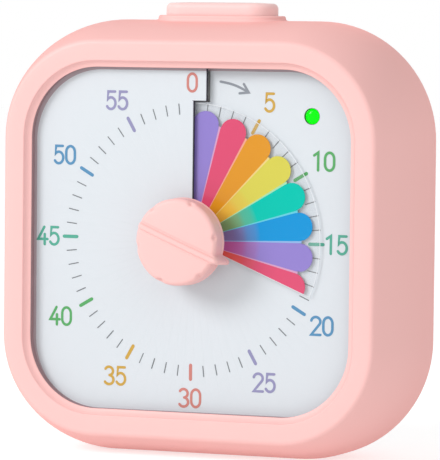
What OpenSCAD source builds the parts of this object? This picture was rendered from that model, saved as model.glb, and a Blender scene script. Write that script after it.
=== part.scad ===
// Visual countdown timer: a rounded square desk timer in a soft sleeve. A knob winds a clear
// film with coloured petals out through a slit in the dial, and a small motor winds it back.
// The dial faces -Y and +Z is up. The origin is on the flat base, under the middle of the body.

/* [Body] */
// Overall width and height of the body at its widest section
body_w = 90; // [87:0.5:96]
// Depth of the body from its front rim to its back rim
body_d = 35; // [34.5:0.5:38]
// Corner radius at the widest section
corner_r = 24.5; // [23.5:0.5:26]
// How far each side swells between its front edge and the widest section
flank_rise = 4.4; // [3.6:0.1:5]
// Radius of the soft edge round the back
back_r = 12; // [11:0.5:13]
// Height trimmed off the bottom to make the flat base
base_trim = 0.4; // [0.2:0.1:0.6]

/* [Sleeve] */
// Wall of the soft sleeve
sleeve_t = 2; // [1.6:0.1:2.4]
// Thickness of the sleeve's front rim
lip_t = 1.2; // [1:0.1:1.8]
// Width of the flat front rim
rim_w = 4.2; // [3.5:0.1:5]
// Rounding of the front rim's outer edge
edge_r = 1; // [0.5:0.1:1.5]
// Width of the sleeve's rim on the back, measured in from the soft edge
back_rim_w = 2; // [1:0.5:3]

/* [Case] */
// Wall of the front and rear case
case_t = 1.6; // [1.4:0.1:1.8]

/* [Dial] */
// How far the middle of the dial lies behind the front rim
dial_recess = 3.5; // [3.2:0.1:4.2]
// Height that the dial sheet climbs in one turn, from one side of its slit to the other
pitch = 1.5; // [1.4:0.05:1.6]
// Thickness of the dial sheet
sheet_t = 0.5; // [0.4:0.05:0.55]
// How far the sleeve's front rim covers the edge of the dial sheet
sheet_cover = 0.8; // [0.5:0.1:1.2]
// How far the slit runs past the film's edge
slit_over = 0.4; // [0.3:0.05:1]
// Width of the sheet's tab beyond the slit
tab_w = 3.1; // [2:0.1:4]
// Radius of the hole in the middle of the dial sheet
sheet_hole_r = 5.4; // [5.2:0.1:6]

/* [Film] */
// Distance from the film's edge to the edge of the dial sheet
film_margin = 7.8; // [7.5:0.1:10]
// Thickness of the petal film
film_t = 0.25; // [0.15:0.05:0.3]
// Radius of the film's hub
hub_r = 4.6; // [4:0.1:4.8]
// Minutes that the timer shows as it stands
set_minutes = 18.75; // [0:1.25:60]

/* [Knob] */
// Radius of the knob
knob_r = 8.95; // [8:0.05:10]
// Thickness of the knob
knob_t = 5; // [4:0.1:6]
// Height of the knob's back above the middle of the dial
knob_stand = 4.2; // [3.9:0.1:5]
// Length of the pointer beyond the knob's rim
pointer_len = 1.95; // [1:0.05:3]
// Width of the ridge across the knob
ridge_w = 1; // [0.8:0.1:1.6]
// Height of the ridge above the knob's face
ridge_h = 0.45; // [0.2:0.05:0.8]
// Number of thumb notches round the knob
notch_count = 6; // [4:1:8]
// Radius of each thumb notch
notch_r = 1.6; // [1.2:0.05:1.8]

/* [Shaft] */
// Radius of the knob's shaft
shaft_r = 1.5; // [1.4:0.05:1.6]
// Radius of the knob's stem, on which the film's hub slides
stem_r = 2.5; // [2.4:0.05:2.8]

/* [Drive] */
// Module of the gear teeth
gear_module = 0.8; // [0.78:0.01:0.82]
// Teeth on the drive gear
gear_teeth = 36; // [36:1:37]
// Teeth on the motor's pinion
pinion_teeth = 12; // [12:1:13]
// Thickness of the gears
gear_t = 1.8; // [1.4:0.1:2]
// Direction from the shaft to the motor
motor_angle = 160; // [158:1:164]
// Radius of the motor
motor_r = 7.5; // [6.5:0.1:8]
// Length of the motor
motor_len = 8; // [6:0.1:10]

/* [Button] */
// Length of the top button
button_len = 24.3; // [22:0.1:25]
// Width of the top button
button_w = 9.3; // [8.6:0.1:9.8]
// Height of the top button above the middle of the top
button_rise = 3.7; // [3:0.1:5]
// How far behind the middle of the body the button lies
button_back = 1; // [0.5:0.1:1.5]
// Travel of the top button
button_travel = 0.5; // [0.3:0.05:0.6]
// Width of the raised collar round the button
collar_w = 1.6; // [1.2:0.1:2]
// Height of the collar above the middle of the top
collar_rise = 1; // [0.6:0.1:1.6]

/* [Lamp] */
// Distance of the lamp from the right edge of the dial sheet
lamp_in = 10.3; // [9.5:0.1:11]
// Distance of the lamp from the top edge of the dial sheet
lamp_down = 10.2; // [9.5:0.1:11]
// Radius of the lamp
lamp_r = 1.5; // [1.4:0.05:1.6]

/* [Battery] */
// Radius of the cell
cell_r = 7.1; // [7:0.05:7.25]
// Length of the cell, with its button
cell_len = 50.5; // [49.5:0.1:50.8]
// Height of the cell's axis below the shaft
cell_drop = 14.6; // [14.4:0.1:15]
// Width of the battery door
door_w = 57; // [56.5:0.1:57.6]
// Height of the battery door
door_h = 18.8; // [18.6:0.1:19]
// Thickness of the battery door
door_t = 1.5; // [1.3:0.05:1.55]

/* [Board] */
// Thickness of the circuit board
board_t = 1.2; // [1:0.1:1.6]
// Reach of the circuit board to the left of the shaft
board_left = 24; // [23:0.5:26]
// Reach of the circuit board to the right of the shaft
board_right = 34; // [33:0.5:35]

/* [Sound] */
// Radius of the buzzer
buzzer_r = 6; // [5:0.1:6.5]
// Height of the buzzer
buzzer_h = 7; // [5:0.1:9]
// Travel of the sound slider to each side
slider_travel = 2; // [1:0.1:2.5]

/* [Hidden] */
$fn = 48;

// Clearances
seat_gap = 0.1;      // between pieces that are assembled and stay put
press_gap = 0.02;    // between pieces pressed together
run_gap = 0.05;      // between a shaft and its bearing, on the radius
move_gap = 0.3;      // between a moving piece and what it passes
button_gap = 0.35;   // round the top button
cut = 1;             // how far a cutting body runs past the face it cuts

// Levels along the viewing axis, towards the viewer, from the middle of the body
front_h = body_d / 2;
lip_h = front_h - lip_t;
case_front_h = lip_h - seat_gap;
back_h = -front_h;
case_off = sleeve_t + seat_gap;
case_back_h = back_h + case_off;
case_in_h = case_back_h + case_t;
dial_h = front_h - dial_recess;

// The round of the sides
corner_c = body_w / 2 - corner_r;
flank_r = (front_h * front_h + flank_rise * flank_rise) / (2 * flank_rise);
flank_u = corner_r - flank_r;
back_u = corner_r - back_r;
back_arc_h = back_h + back_r;
rim_in_u = corner_r - flank_rise - rim_w;
lip_u = rim_in_u - lip_t;
axis_z = body_w / 2 - base_trim;

// Dial sheet and its seat
sheet_half = corner_c + lip_u + sheet_cover;
seat_half = sheet_half + 0.2;
seat_u = seat_half - corner_c;
seat_wall = 1.2;
film_r = sheet_half - film_margin;
slit_len = film_r + slit_over;
turn_step = 5;
film_lift = pitch / 3;
hub_lip = 0.35;
set_angle = set_minutes * 6;

// Film and hub, at the set time
film_lead_h = dial_h + pitch * (set_angle / 360 - 0.5) + film_lift;
hub_front_h = film_lead_h + hub_lip;
hub_back_h = film_lead_h - pitch - hub_lip;
hub_low_h = dial_h - 1.5 * pitch + film_lift - hub_lip;
hub_high_h = dial_h + 0.5 * pitch + film_lift + hub_lip;

// Plate that carries the dial and the drive
plate_t = 1.5;
plate_front_h = hub_low_h - 0.4;
plate_back_h = plate_front_h - plate_t;
bush_flange_t = 0.4;
bush_r = 3;
collar_front_h = plate_back_h - bush_flange_t - seat_gap;
collar_t = 0.6;
gear_front_h = collar_front_h - collar_t;
gear_back_h = gear_front_h - gear_t;
clutch_t = 0.5;
clip_t = 0.5;
clip_back_h = gear_back_h - clutch_t - clip_t;
gear_plate_t = 1.2;
gear_plate_front_h = clip_back_h - move_gap;
gear_plate_back_h = gear_plate_front_h - gear_plate_t;
pitch_angle = 20;
tooth_gap = 0.07;
gear_distance = gear_module * (gear_teeth + pinion_teeth) / 2;
motor_at = gear_distance * [cos(motor_angle), sin(motor_angle)];
motor_shaft_r = 1;
motor_back_h = gear_plate_back_h - motor_len;
motor_bore_h = motor_back_h + 2;

// Battery bay, contacts and door
bay_rim = 0.8;
bay_h = case_back_h + door_t + 2 * seat_gap + cell_r;
bay_wall = 1.2;
bay_half = cell_r + 0.5;
contact_t = 0.4;
contact_w = 10;
spring_len = 3.2;
bay_left = -cell_len / 2 - spring_len - contact_t - seat_gap;
bay_right = cell_len / 2 + 2 * seat_gap + contact_t;
bay_front_h = bay_h + cell_r + 0.35;
door_low = -cell_drop - door_h / 2;
door_high = -cell_drop + door_h / 2;
barrel_r = 1.4;
barrel_up = door_low + barrel_r;
barrel_h = case_back_h + barrel_r;
hinge_pin_r = 0.7;
hinge_pin_len = 1.4;
hinge_boss_r = 1.3;
thumb_r = 6;
thumb_deep = 1;
nib = [8, 0.2, 0.6];
nib_proud = 0.15;
rib_gap = 1.2;

// Top button, its small switch and where the case parts in front of them
button_r = button_w / 2;
button_straight = button_len - button_w;
button_hole_r = button_r + button_gap;
flange_r = button_hole_r + 0.9;
flange_t = 1;
case_top_in = body_w / 2 - case_off - case_t;
flange_reach = flange_r - button_back;
parting_h = flange_reach + seat_gap;
crown_drop = flank_r - case_off - case_t
    - sqrt(pow(flank_r - case_off - case_t, 2) - flange_reach * flange_reach);
flange_top = case_top_in - crown_drop - move_gap;
button_stem = 2.5;
stem_button_r = 1.8;
plunger_top = flange_top - flange_t - button_stem;
plunger_r = 1.5;
tact_rise = 2.9;
tact_top = plunger_top - tact_rise;
tact_w = 6;
tact_h = 4;
tact_floor = 0.8;
tact_wall = 1.9;

// Circuit board and what stands on it
board_clear = 1.1;
board_back_h = case_in_h + board_clear + buzzer_h;
board_front_h = board_back_h + board_t;
board_top = tact_top - 1;
board_bottom = door_high + move_gap + bay_rim + 0.6;
board_notch_x = motor_at[0] + motor_r + 0.9;
board_notch_up = motor_at[1] + motor_r + 1.1;
board_corner = 8;
sensor_size = [10, 8, 2.2];
sensor_up = board_bottom + sensor_size[1] / 2;
rotor_r = shaft_r + 0.6;
rotor_front = 0.4;
chip_at = [22.5, 20.5];
chip_w = 7;
chip_t = 1.1;
chip_pin = [1, 0.4, 0.5];
buzzer_at = [-1, 15];
switch_at = [18, 12];
switch_size = [8.5, 3.6, 4.7];
grille_w = 1.2;
slider_grip = [4.5, 2.8];
slider_plate = [12, 5, 0.8];
slider_slot = [slider_grip[0] + 2 * slider_travel + 2 * move_gap, slider_grip[1] + 2 * move_gap];
lever_w = 1.5;

// Leads
lead_r = 0.45;
lead_reach = 2.4;
lead_rise = 5;
motor_lead_rise = 4.3;
battery_lead_x = [16, 22];

// Knob's shaft and stem
knob_back_h = dial_h + knob_stand;
knob_front_h = knob_back_h + knob_t;
knob_neck_h = hub_high_h + move_gap;
knob_neck_r = hub_r + 0.4;
stem_back_h = plate_front_h + 0.2;
shaft_front_h = knob_front_h - 1.1;
shaft_back_h = board_front_h + 0.2;
knob_flange_t = 0.9;
knob_step = 0.1;
ridge_groove_w = 0.25;
ridge_groove_t = 0.12;
ridge_root_t = 0.6;
ridge_edge = 0.2;
pointer_w = 1.6;
notch_out = 0.5;
notch_low = 0.2;

// Lamp
lamp_x = sheet_half - lamp_in;
lamp_up = sheet_half - lamp_down;
lamp_flange_r = lamp_r + 0.4;
lamp_flange_h = plate_back_h - 3.2;
lamp_sunk = 0.9;
lamp_wall = 1;
lamp_lead_w = 0.5;
lamp_lead_x = 0.9;

// Case, board, plate and motor screws
screw_r = 1.1;
screw_head_r = 2.4;
screw_head_t = 1.6;
screw_len = 10;
screw_seat_t = 3;
pilot_gap = 0.05;
pilot_len = 8;
case_post_r = 3.2;
case_tube_r = 3.7;
screw_from_lamp = 9;
lower_screw_x = 20;
upper_screws = [for (side = [-1, 1]) [side * (lamp_x - screw_from_lamp), board_top - 5.5]];
lower_screws = [for (side = [-1, 1]) [side * lower_screw_x, door_low - move_gap - case_tube_r]];
lower_post_h = 0;
board_screws_at = [[30, 4], [-16.5, 19.5]];
board_post_r = 2.2;
small_screw_r = 0.9;
small_head_r = 1.7;
small_head_t = 1.1;
small_screw_len = 4.6;
plate_posts_at = [[18.2, 1.5], [-5, 18.5], [-29.5, motor_at[1] + 1]];
plate_post_pad = 2.9;
plate_strut_w = 5;
motor_strut_w = 7;
shaft_pad_r = 3.2;
motor_screw_reach = 5.4;
motor_screw_r = 0.7;
motor_screw_len = 2;
motor_head_r = 1.25;
motor_head_t = 0.6;

// ---------------------------------------------------------------- outlines

function arc(centre, r, a0, a1, n) =
    [for (i = [0:n]) let (a = a0 + (a1 - a0) * i / n) centre + r * [cos(a), sin(a)]];

function rounded_square(half, r) =
    let (c = half - r)
    concat(arc([c, c], r, 0, 90, 10), arc([-c, c], r, 90, 180, 10),
        arc([-c, -c], r, 180, 270, 10), arc([c, -c], r, 270, 360, 10));

function reversed(list) = [for (i = [len(list) - 1:-1:0]) list[i]];

// Side of the body from height h0 down to height h1, set in by t
function flank(t, h0, h1, n) =
    let (r = flank_r - t, a0 = asin(h0 / r), a1 = asin(max(h1, 0) / r))
    arc([flank_u, 0], r, a0, a1, n);

function back_edge(t, n) = arc([back_u, back_arc_h], back_r - t, 0, -90, n);

// Side of the body from its front face at height hf, with a rounded edge, to its back
function side(t, hf, r) =
    let (rest = flank_r - t - r,
        centre = [flank_u + sqrt(rest * rest - pow(hf - r, 2)), hf - r],
        a = atan2(hf - r, centre[0] - flank_u))
    concat(arc(centre, r, 90, a, 3), flank(t, (flank_r - t) * sin(a), 0, 8), back_edge(t, 9));

// ---------------------------------------------------------------- building helpers

// Turns what is drawn as seen from the front to face -Y, level with the shaft
module facing() {
    translate([0, 0, axis_z]) rotate([90, 0, 0]) children();
}

// Takes a section round the rounded square of the body
module round_body(section) {
    for (k = [0:3]) rotate([0, 0, 90 * k]) {
        translate([corner_c, corner_c, 0]) rotate_extrude(angle = 90) polygon(section);
        translate([-corner_c, corner_c, 0]) rotate([90, 0, 90])
            linear_extrude(2 * corner_c) polygon(section);
    }
}

// Takes a section round a long shape with round ends
module round_pill(straight, section) {
    translate([straight / 2, 0, 0]) rotate([0, 0, -90]) rotate_extrude(angle = 180) polygon(section);
    translate([-straight / 2, 0, 0]) rotate([0, 0, 90]) rotate_extrude(angle = 180) polygon(section);
    for (side = [0, 180]) rotate([0, 0, side]) translate([-straight / 2, 0, 0])
        rotate([90, 0, 90]) linear_extrude(straight) polygon(section);
}

module pill(straight, r, height) {
    round_pill(straight, [[0, 0], [r, 0], [r, height], [0, height]]);
}

module plate_slice(half, r, low, high) {
    translate([0, 0, low]) linear_extrude(high - low) polygon(rounded_square(half, r));
}

module rod(r, low, high) {
    translate([0, 0, low]) cylinder(r = r, h = high - low);
}

module bar(size, low, high) {
    translate([-size[0] / 2, -size[1] / 2, low]) cube([size[0], size[1], high - low]);
}

// Skins a list of closed rings, each with the same number of points
module loft(rings) {
    n = len(rings[0]);
    last = (len(rings) - 1) * n;
    walls = [for (i = [0:len(rings) - 2], j = [0:n - 1], k = [0, 1])
        let (a = i * n + j, b = i * n + (j + 1) % n)
        k == 0 ? [a, b, b + n] : [a, b + n, a + n]];
    caps = [[for (j = [n - 1:-1:0]) j], [for (j = [0:n - 1]) last + j]];
    polyhedron(points = [for (ring = rings) each ring], faces = concat(walls, caps), convexity = 6);
}

function unit(v) = v / norm(v);

// Round wire of radius r along the points of a path
module wire(path, r, across) {
    sides = 8;
    last = len(path) - 1;
    loft([for (i = [0:last])
        let (along = unit(path[min(i + 1, last)] - path[max(i - 1, 0)]),
            u = unit(cross(across, along)), v = cross(along, u))
        [for (j = [0:sides - 1]) path[i] + r * (cos(360 * j / sides) * u - sin(360 * j / sides) * v)]]);
}

// Sheet that climbs by one pitch in each turn. Its top is at level at turn 0, and turns run
// clockwise from the top of the dial.
module spiral_sheet(r0, r1, thick, level, a0, a1) {
    steps = ceil((a1 - a0) / turn_step);
    loft([for (i = [0:steps])
        let (a = a0 + (a1 - a0) * i / steps, h = level + pitch * a / 360, way = [sin(a), cos(a)])
        [[r0 * way[0], r0 * way[1], h], [r1 * way[0], r1 * way[1], h],
            [r1 * way[0], r1 * way[1], h - thick], [r0 * way[0], r0 * way[1], h - thick]]]);
}

function involute(r, base) = r <= base ? 0 : tan(acos(base / r)) * 180 / PI - acos(base / r);

// Outline of a spur gear with short teeth, and a tooth centred on the given direction
function gear_outline(teeth, direction) =
    let (pitch_r = gear_module * teeth / 2, base = pitch_r * cos(pitch_angle),
        root = pitch_r - gear_module, tip = pitch_r + 0.75 * gear_module,
        half = 90 / teeth - tooth_gap / pitch_r * 180 / PI + involute(pitch_r, base),
        foot = max(root + 0.1, base),
        radii = [root, foot, (foot + tip) / 2, tip])
    [for (k = [0:teeth - 1], i = [0:7])
        let (j = i < 4 ? i : 7 - i, flip = i < 4 ? -1 : 1,
            a = direction + 360 * k / teeth + flip * (half - involute(radii[j], base)))
        radii[j] * [cos(a), sin(a)]];

module gear(teeth, direction, bore) {
    difference() {
        linear_extrude(gear_t) polygon(gear_outline(teeth, direction));
        rod(bore, -cut, gear_t + cut);
    }
}

module post(at, r, pilot, low, high) {
    translate([at[0], at[1], 0]) difference() {
        rod(r, low, high);
        rod(pilot, low - cut, low + pilot_len);
    }
}

// Screw with its head behind the given level
module screw(at, r, head_r, head_t, length, seat) {
    translate([at[0], at[1], 0]) difference() {
        union() {
            rod(r, seat - head_t / 2, seat + length);
            rod(head_r, seat - head_t, seat);
        }
        for (a = [0, 90]) rotate([0, 0, a]) bar([1.2 * head_r, 0.25 * head_r], seat - head_t - cut,
            seat - head_t * 0.55);
    }
}

// ---------------------------------------------------------------- sleeve and case

module silicone_sleeve() {
    inside = side(sleeve_t, lip_h, 0.6);
    outside = side(0, front_h, edge_r);
    rim_u = back_u - back_rim_w;
    section = concat(outside, arc([rim_u + 0.5, back_h + 0.5], 0.5, -90, -180, 2),
        [[rim_u, back_h + sleeve_t]], reversed(inside), [[lip_u, lip_h], [rim_in_u - 0.3, front_h - 0.3]],
        arc([rim_in_u + 0.45, front_h - 0.75], 0.75, 135, 90, 2));
    collar_low = axis_z + body_w / 2 - sleeve_t / 2;
    collar_top = axis_z + body_w / 2 + collar_rise;
    collar_r = button_r + collar_w;
    color("pink") difference() {
        union() {
            facing() round_body(section);
            translate([0, button_back, 0]) round_pill(button_straight,
                concat([[button_hole_r - 0.2, collar_low], [collar_r, collar_low],
                        [collar_r, collar_top - 0.8]],
                    arc([collar_r - 0.6, collar_top - 0.6], 0.6, 0, 90, 4),
                    [[button_hole_r - 0.2, collar_top]]));
        }
        translate([0, button_back, collar_low - 2 * sleeve_t])
            pill(button_straight, button_hole_r, 4 * sleeve_t + collar_rise);
        translate([-body_w / 2, -body_d, -body_w]) cube([body_w, 2 * body_d, body_w]);
    }
}

module front_case() {
    rest = flank_r - case_off - 0.6;
    edge = [flank_u + sqrt(rest * rest - pow(case_front_h - 0.6, 2)), case_front_h - 0.6];
    edge_a = atan2(edge[1], edge[0] - flank_u);
    section = concat([[seat_u, case_front_h]], arc(edge, 0.6, 90, edge_a, 3),
        flank(case_off, (flank_r - case_off) * sin(edge_a), parting_h, 6),
        flank(case_off + case_t, parting_h, parting_h, 1),
        reversed(flank(case_off + case_t, case_front_h - case_t, parting_h, 5)),
        [[seat_u + seat_wall, case_front_h - case_t], [seat_u + seat_wall, plate_back_h],
            [seat_u, plate_back_h]]);
    color("white") facing() difference() {
        union() {
            round_body(dedupe(section));
            plate_slice(seat_half + seat_wall / 2, seat_u + seat_wall / 2, plate_back_h, plate_front_h);
            sheet_pads();
            translate([lamp_x, lamp_up, 0]) {
                rod(lamp_r + lamp_wall, plate_front_h - cut / 2, sheet_back(45) - seat_gap);
                rod(lamp_flange_r + lamp_wall, lamp_flange_h + seat_gap, plate_back_h + cut / 2);
            }
            for (at = upper_screws) post(at, case_post_r, screw_r + pilot_gap, board_front_h, plate_back_h);
            for (at = lower_screws) post(at, case_post_r, screw_r + pilot_gap, lower_post_h, plate_back_h);
            for (at = board_screws_at)
                post(at, board_post_r, small_screw_r + pilot_gap, board_front_h, plate_back_h);
            for (at = plate_posts_at) translate([at[0], at[1], 0]) difference() {
                rod(board_post_r, gear_plate_front_h, plate_back_h);
                rod(small_screw_r + pilot_gap, gear_plate_front_h - cut, plate_back_h - 0.4);
            }
        }
        translate([lamp_x, lamp_up, 0]) rod(lamp_r + seat_gap, board_front_h, front_h);
        rod(bush_r + press_gap, plate_back_h - cut, plate_front_h + cut);
    }
}

// Level of the dial sheet's back in a direction given clockwise from the top
function sheet_back(a) = dial_h + pitch * (a / 360 - 0.5) - sheet_t;

function dedupe(list) = [for (i = [0:len(list) - 1])
    if (i == 0 || norm(list[i] - list[i - 1]) > 0.001) list[i]];

// Pads under the corners of the dial sheet, each as tall as the sheet is there
module sheet_pads() {
    pad_c = corner_c + 0.68 * seat_u;
    for (k = [0:3]) rotate([0, 0, -90 * k]) translate([pad_c, pad_c, 0])
        rod(2.5, plate_front_h - cut / 2, sheet_back(45 + 90 * k) - seat_gap);
}

module rear_case() {
    section = concat(flank(case_off, parting_h, 0, 4), back_edge(case_off, 9),
        [[back_u - 2, case_back_h], [back_u - 2, case_in_h]],
        reversed(back_edge(case_off + case_t, 8)), reversed(flank(case_off + case_t, parting_h, 0, 4)));
    bay_mid = (bay_left + bay_right) / 2;
    bay_w = bay_right - bay_left;
    open_w = door_w + 2 * move_gap;
    color("white") difference() {
        facing() difference() {
            union() {
                round_body(dedupe(section));
                plate_slice(corner_c + back_u - 1, back_u - 1, case_back_h, case_in_h);
                translate([0, -cell_drop, 0]) bar([open_w + 2 * bay_rim, door_h + 2 * (move_gap + bay_rim)],
                    case_back_h + 0.4, bay_front_h + bay_wall);
                for (at = upper_screws) translate([at[0], at[1], 0])
                    rod(case_tube_r, case_back_h + 0.4, board_back_h - seat_gap);
                for (at = lower_screws) translate([at[0], at[1], 0])
                    rod(case_tube_r, case_back_h + 0.4, lower_post_h - seat_gap);
                for (side = [-1, 1]) translate([side * (door_w / 2 + move_gap + hinge_pin_len), 0, 0])
                    translate([-hinge_pin_len - 0.3, barrel_up, barrel_h]) rotate([0, 90, 0])
                        rod(hinge_boss_r, 0, 2 * hinge_pin_len + 0.6);
            }
            for (at = upper_screws) screw_way(at, board_back_h - seat_gap);
            for (at = lower_screws) screw_way(at, lower_post_h - seat_gap);
            translate([bay_mid, -cell_drop, 0]) bar([bay_w, 2 * bay_half], case_back_h - cut, bay_front_h);
            translate([0, -cell_drop, 0]) bar([open_w, door_h + 2 * move_gap], case_back_h - cut, case_in_h);
            translate([-open_w / 2, barrel_up, barrel_h]) rotate([0, 90, 0])
                rod(barrel_r + move_gap, 0, open_w);
            translate([-door_w / 2 - hinge_pin_len - move_gap, barrel_up, barrel_h]) rotate([0, 90, 0])
                rod(hinge_pin_r + run_gap, 0, door_w + 2 * hinge_pin_len + 2 * move_gap);
            translate([0, door_high, case_back_h + thumb_deep - thumb_r]) sphere(r = thumb_r);
            for (k = [-2:2]) translate([buzzer_at[0] + 2 * grille_w * k, buzzer_at[1], 0])
                bar([grille_w, 1.5 * buzzer_r - abs(k)], case_back_h - cut, case_in_h + cut);
            translate([switch_at[0], switch_at[1], 0]) bar(slider_slot, case_back_h - cut, case_in_h + cut);
        }
        translate([0, button_back, axis_z + case_top_in - cut])
            pill(button_straight, button_hole_r, case_t + 2 * cut);
    }
}

// Way for a case screw: a wide well for its head and a hole for its shank
module screw_way(at, end) {
    translate([at[0], at[1], 0]) {
        rod(screw_r + 0.4, case_back_h - cut, end + cut);
        rod(screw_head_r + 0.3, case_back_h - cut, end - screw_seat_t);
    }
}

module case_screws() {
    color("silver") facing() {
        for (at = upper_screws) screw(at, screw_r, screw_head_r, screw_head_t, screw_len,
            board_back_h - seat_gap - screw_seat_t);
        for (at = lower_screws) screw(at, screw_r, screw_head_r, screw_head_t, screw_len,
            lower_post_h - seat_gap - screw_seat_t);
    }
}

// ---------------------------------------------------------------- dial, film and knob

module dial_sheet() {
    low = dial_h - pitch / 2 - sheet_t;
    split = dial_h - 0.15 * pitch;
    over = 12;
    color("whitesmoke") facing() difference() {
        intersection() {
            spiral_sheet(sheet_hole_r - 1, sheet_half * 1.35, sheet_t, dial_h - pitch / 2, 0, 360 + over);
            plate_slice(sheet_half, seat_u - 0.2, low - cut, dial_h + pitch);
        }
        translate([0, 0, split]) cube([tab_w * 3, slit_len, pitch * 2]);
        translate([tab_w, slit_len - cut, split]) cube([tab_w * 3, sheet_half, pitch * 2]);
        translate([-0.02, slit_len - move_gap, low - cut])
            cube([tab_w + move_gap, sheet_half, split - low + cut]);
        rod(sheet_hole_r, low - cut, dial_h + pitch);
        translate([lamp_x, lamp_up, low - cut]) cylinder(r = lamp_r + 0.2, h = 3 * pitch);
    }
}

module petal_film() {
    color("orchid", 0.7) facing()
        spiral_sheet(hub_r + press_gap, film_r, film_t,
            film_lead_h + film_t / 2 - pitch * set_angle / 360, set_angle - 360, set_angle);
}

module film_hub() {
    color("white") facing() difference() {
        rod(hub_r, hub_back_h, hub_front_h);
        rod(stem_r + run_gap, hub_back_h - cut, hub_front_h + cut);
    }
}

module knob() {
    round_r = 1;
    dome = 0.15;
    grip_r = knob_r - knob_step;
    flange_h = knob_back_h + knob_flange_t;
    section = concat([[shaft_r + press_gap, stem_back_h], [stem_r, stem_back_h], [stem_r, knob_neck_h],
            [knob_neck_r, knob_neck_h], [knob_neck_r, knob_back_h], [knob_r - 0.4, knob_back_h],
            [knob_r, knob_back_h + 0.3], [knob_r, flange_h - 0.2], [knob_r - 0.2, flange_h],
            [grip_r, flange_h]],
        arc([grip_r - round_r, knob_front_h - round_r], round_r, 0, 84, 6),
        [[knob_r / 2, knob_front_h + dome * 0.75], [0, knob_front_h + dome],
            [0, shaft_front_h + seat_gap], [shaft_r + press_gap, shaft_front_h + seat_gap]]);
    ridge_top = knob_front_h + ridge_h;
    tip = knob_r + pointer_len;
    pointer_in = knob_r - 3;
    color("lightpink") facing() rotate([0, 0, 90 - set_angle]) union() {
        difference() {
            rotate_extrude() polygon(section);
            for (k = [0:notch_count - 1]) rotate([0, 0, (k + 0.5) * 360 / notch_count])
                translate([grip_r + notch_out, 0, knob_front_h - notch_low]) sphere(notch_r);
            for (side = [-1, 1])
                translate([0, side * (ridge_w + ridge_groove_w) / 2, knob_front_h + dome])
                    cube([2 * knob_r, ridge_groove_w, 2 * (ridge_groove_t + dome)], center = true);
        }
        translate([0, 0, knob_front_h]) rotate([90, 0, 90])
            linear_extrude(2 * grip_r - 0.2, center = true) polygon([
                [-ridge_w / 2, -ridge_root_t], [ridge_w / 2, -ridge_root_t],
                [ridge_w / 2, ridge_h - ridge_edge], [ridge_w / 2 - ridge_edge, ridge_h],
                [ridge_edge - ridge_w / 2, ridge_h], [-ridge_w / 2, ridge_h - ridge_edge]]);
        intersection() {
            translate([0, 1, 0]) rotate([90, 0, 0]) linear_extrude(2) polygon([
                [pointer_in, knob_back_h], [tip, knob_back_h], [tip, knob_back_h + 0.6],
                [tip - 0.8, ridge_top - 0.5], [tip - 1.2, ridge_top], [pointer_in, ridge_top]]);
            translate([0, 0, knob_back_h]) linear_extrude(ridge_top) polygon([
                [pointer_in, -ridge_w / 2], [knob_r - 0.6, -pointer_w / 2], [knob_r + 0.4, -pointer_w / 2],
                [tip - 0.4, -0.6], [tip, -0.35], [tip, 0.35], [tip - 0.4, 0.6],
                [knob_r + 0.4, pointer_w / 2], [knob_r - 0.6, pointer_w / 2], [pointer_in, ridge_w / 2]]);
        }
    }
}

module knob_shaft() {
    color("silver") facing() {
        rod(shaft_r, shaft_back_h, shaft_front_h);
        rod(stem_r + 0.3, gear_front_h, collar_front_h);
    }
}

// ---------------------------------------------------------------- drive

module shaft_bush() {
    color("gold") facing() difference() {
        union() {
            rod(bush_r, plate_back_h, plate_front_h);
            rod(bush_r + 1.2, plate_back_h - bush_flange_t, plate_back_h);
        }
        rod(shaft_r + run_gap, plate_back_h - cut, plate_front_h + cut);
    }
}

module drive_gear() {
    color("ivory") facing() translate([0, 0, gear_back_h]) difference() {
        gear(gear_teeth, motor_angle, shaft_r + press_gap);
        for (k = [0:3]) rotate([0, 0, 90 * k + 45]) translate([8.4, 0, 0]) rod(2.6, -cut, gear_t + cut);
    }
}

module clutch_spring() {
    color("silver") facing() difference() {
        rod(shaft_r + 2, gear_back_h - clutch_t, gear_back_h);
        rod(shaft_r + press_gap, gear_back_h - clutch_t - cut, gear_back_h + cut);
    }
}

module shaft_clip() {
    color("dimgray") facing() difference() {
        rod(shaft_r + 1.3, clip_back_h, clip_back_h + clip_t);
        rod(shaft_r + press_gap, clip_back_h - cut, clip_back_h + clip_t + cut);
    }
}

// Arm of the gear plate from one point to another
module plate_strut(a, b, w) {
    span = b - a;
    translate([a[0], a[1], gear_plate_back_h]) rotate([0, 0, atan2(span[1], span[0])])
        translate([0, -w / 2, 0]) cube([norm(span), w, gear_plate_t]);
}

module gear_plate() {
    color("gainsboro") facing() difference() {
        union() {
            rod(shaft_pad_r, gear_plate_back_h, gear_plate_front_h);
            translate(motor_at) rod(motor_r + 0.5, gear_plate_back_h, gear_plate_front_h);
            plate_strut([0, 0], motor_at, motor_strut_w);
            plate_strut(motor_at, plate_posts_at[2], plate_strut_w);
            for (k = [0, 1]) plate_strut([0, 0], plate_posts_at[k], plate_strut_w);
            for (at = plate_posts_at) translate(at)
                rod(plate_post_pad, gear_plate_back_h, gear_plate_front_h);
        }
        rod(shaft_r + run_gap, gear_plate_back_h - cut, gear_plate_front_h + cut);
        translate(motor_at) rod(motor_shaft_r + 0.6, gear_plate_back_h - cut, gear_plate_front_h + cut);
        for (side = [-1, 1]) translate(motor_screw_at(side))
            rod(motor_screw_r + 0.1, gear_plate_back_h - cut, gear_plate_front_h + cut);
        for (at = plate_posts_at) translate(at)
            rod(small_screw_r + 0.1, gear_plate_back_h - cut, gear_plate_front_h + cut);
    }
}

function motor_screw_at(side) =
    motor_at + side * motor_screw_reach * [cos(motor_angle + 90), sin(motor_angle + 90)];

module plate_screws() {
    color("silver") facing() for (at = plate_posts_at)
        screw(at, small_screw_r, small_head_r, small_head_t, small_screw_len, gear_plate_back_h);
}

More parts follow.
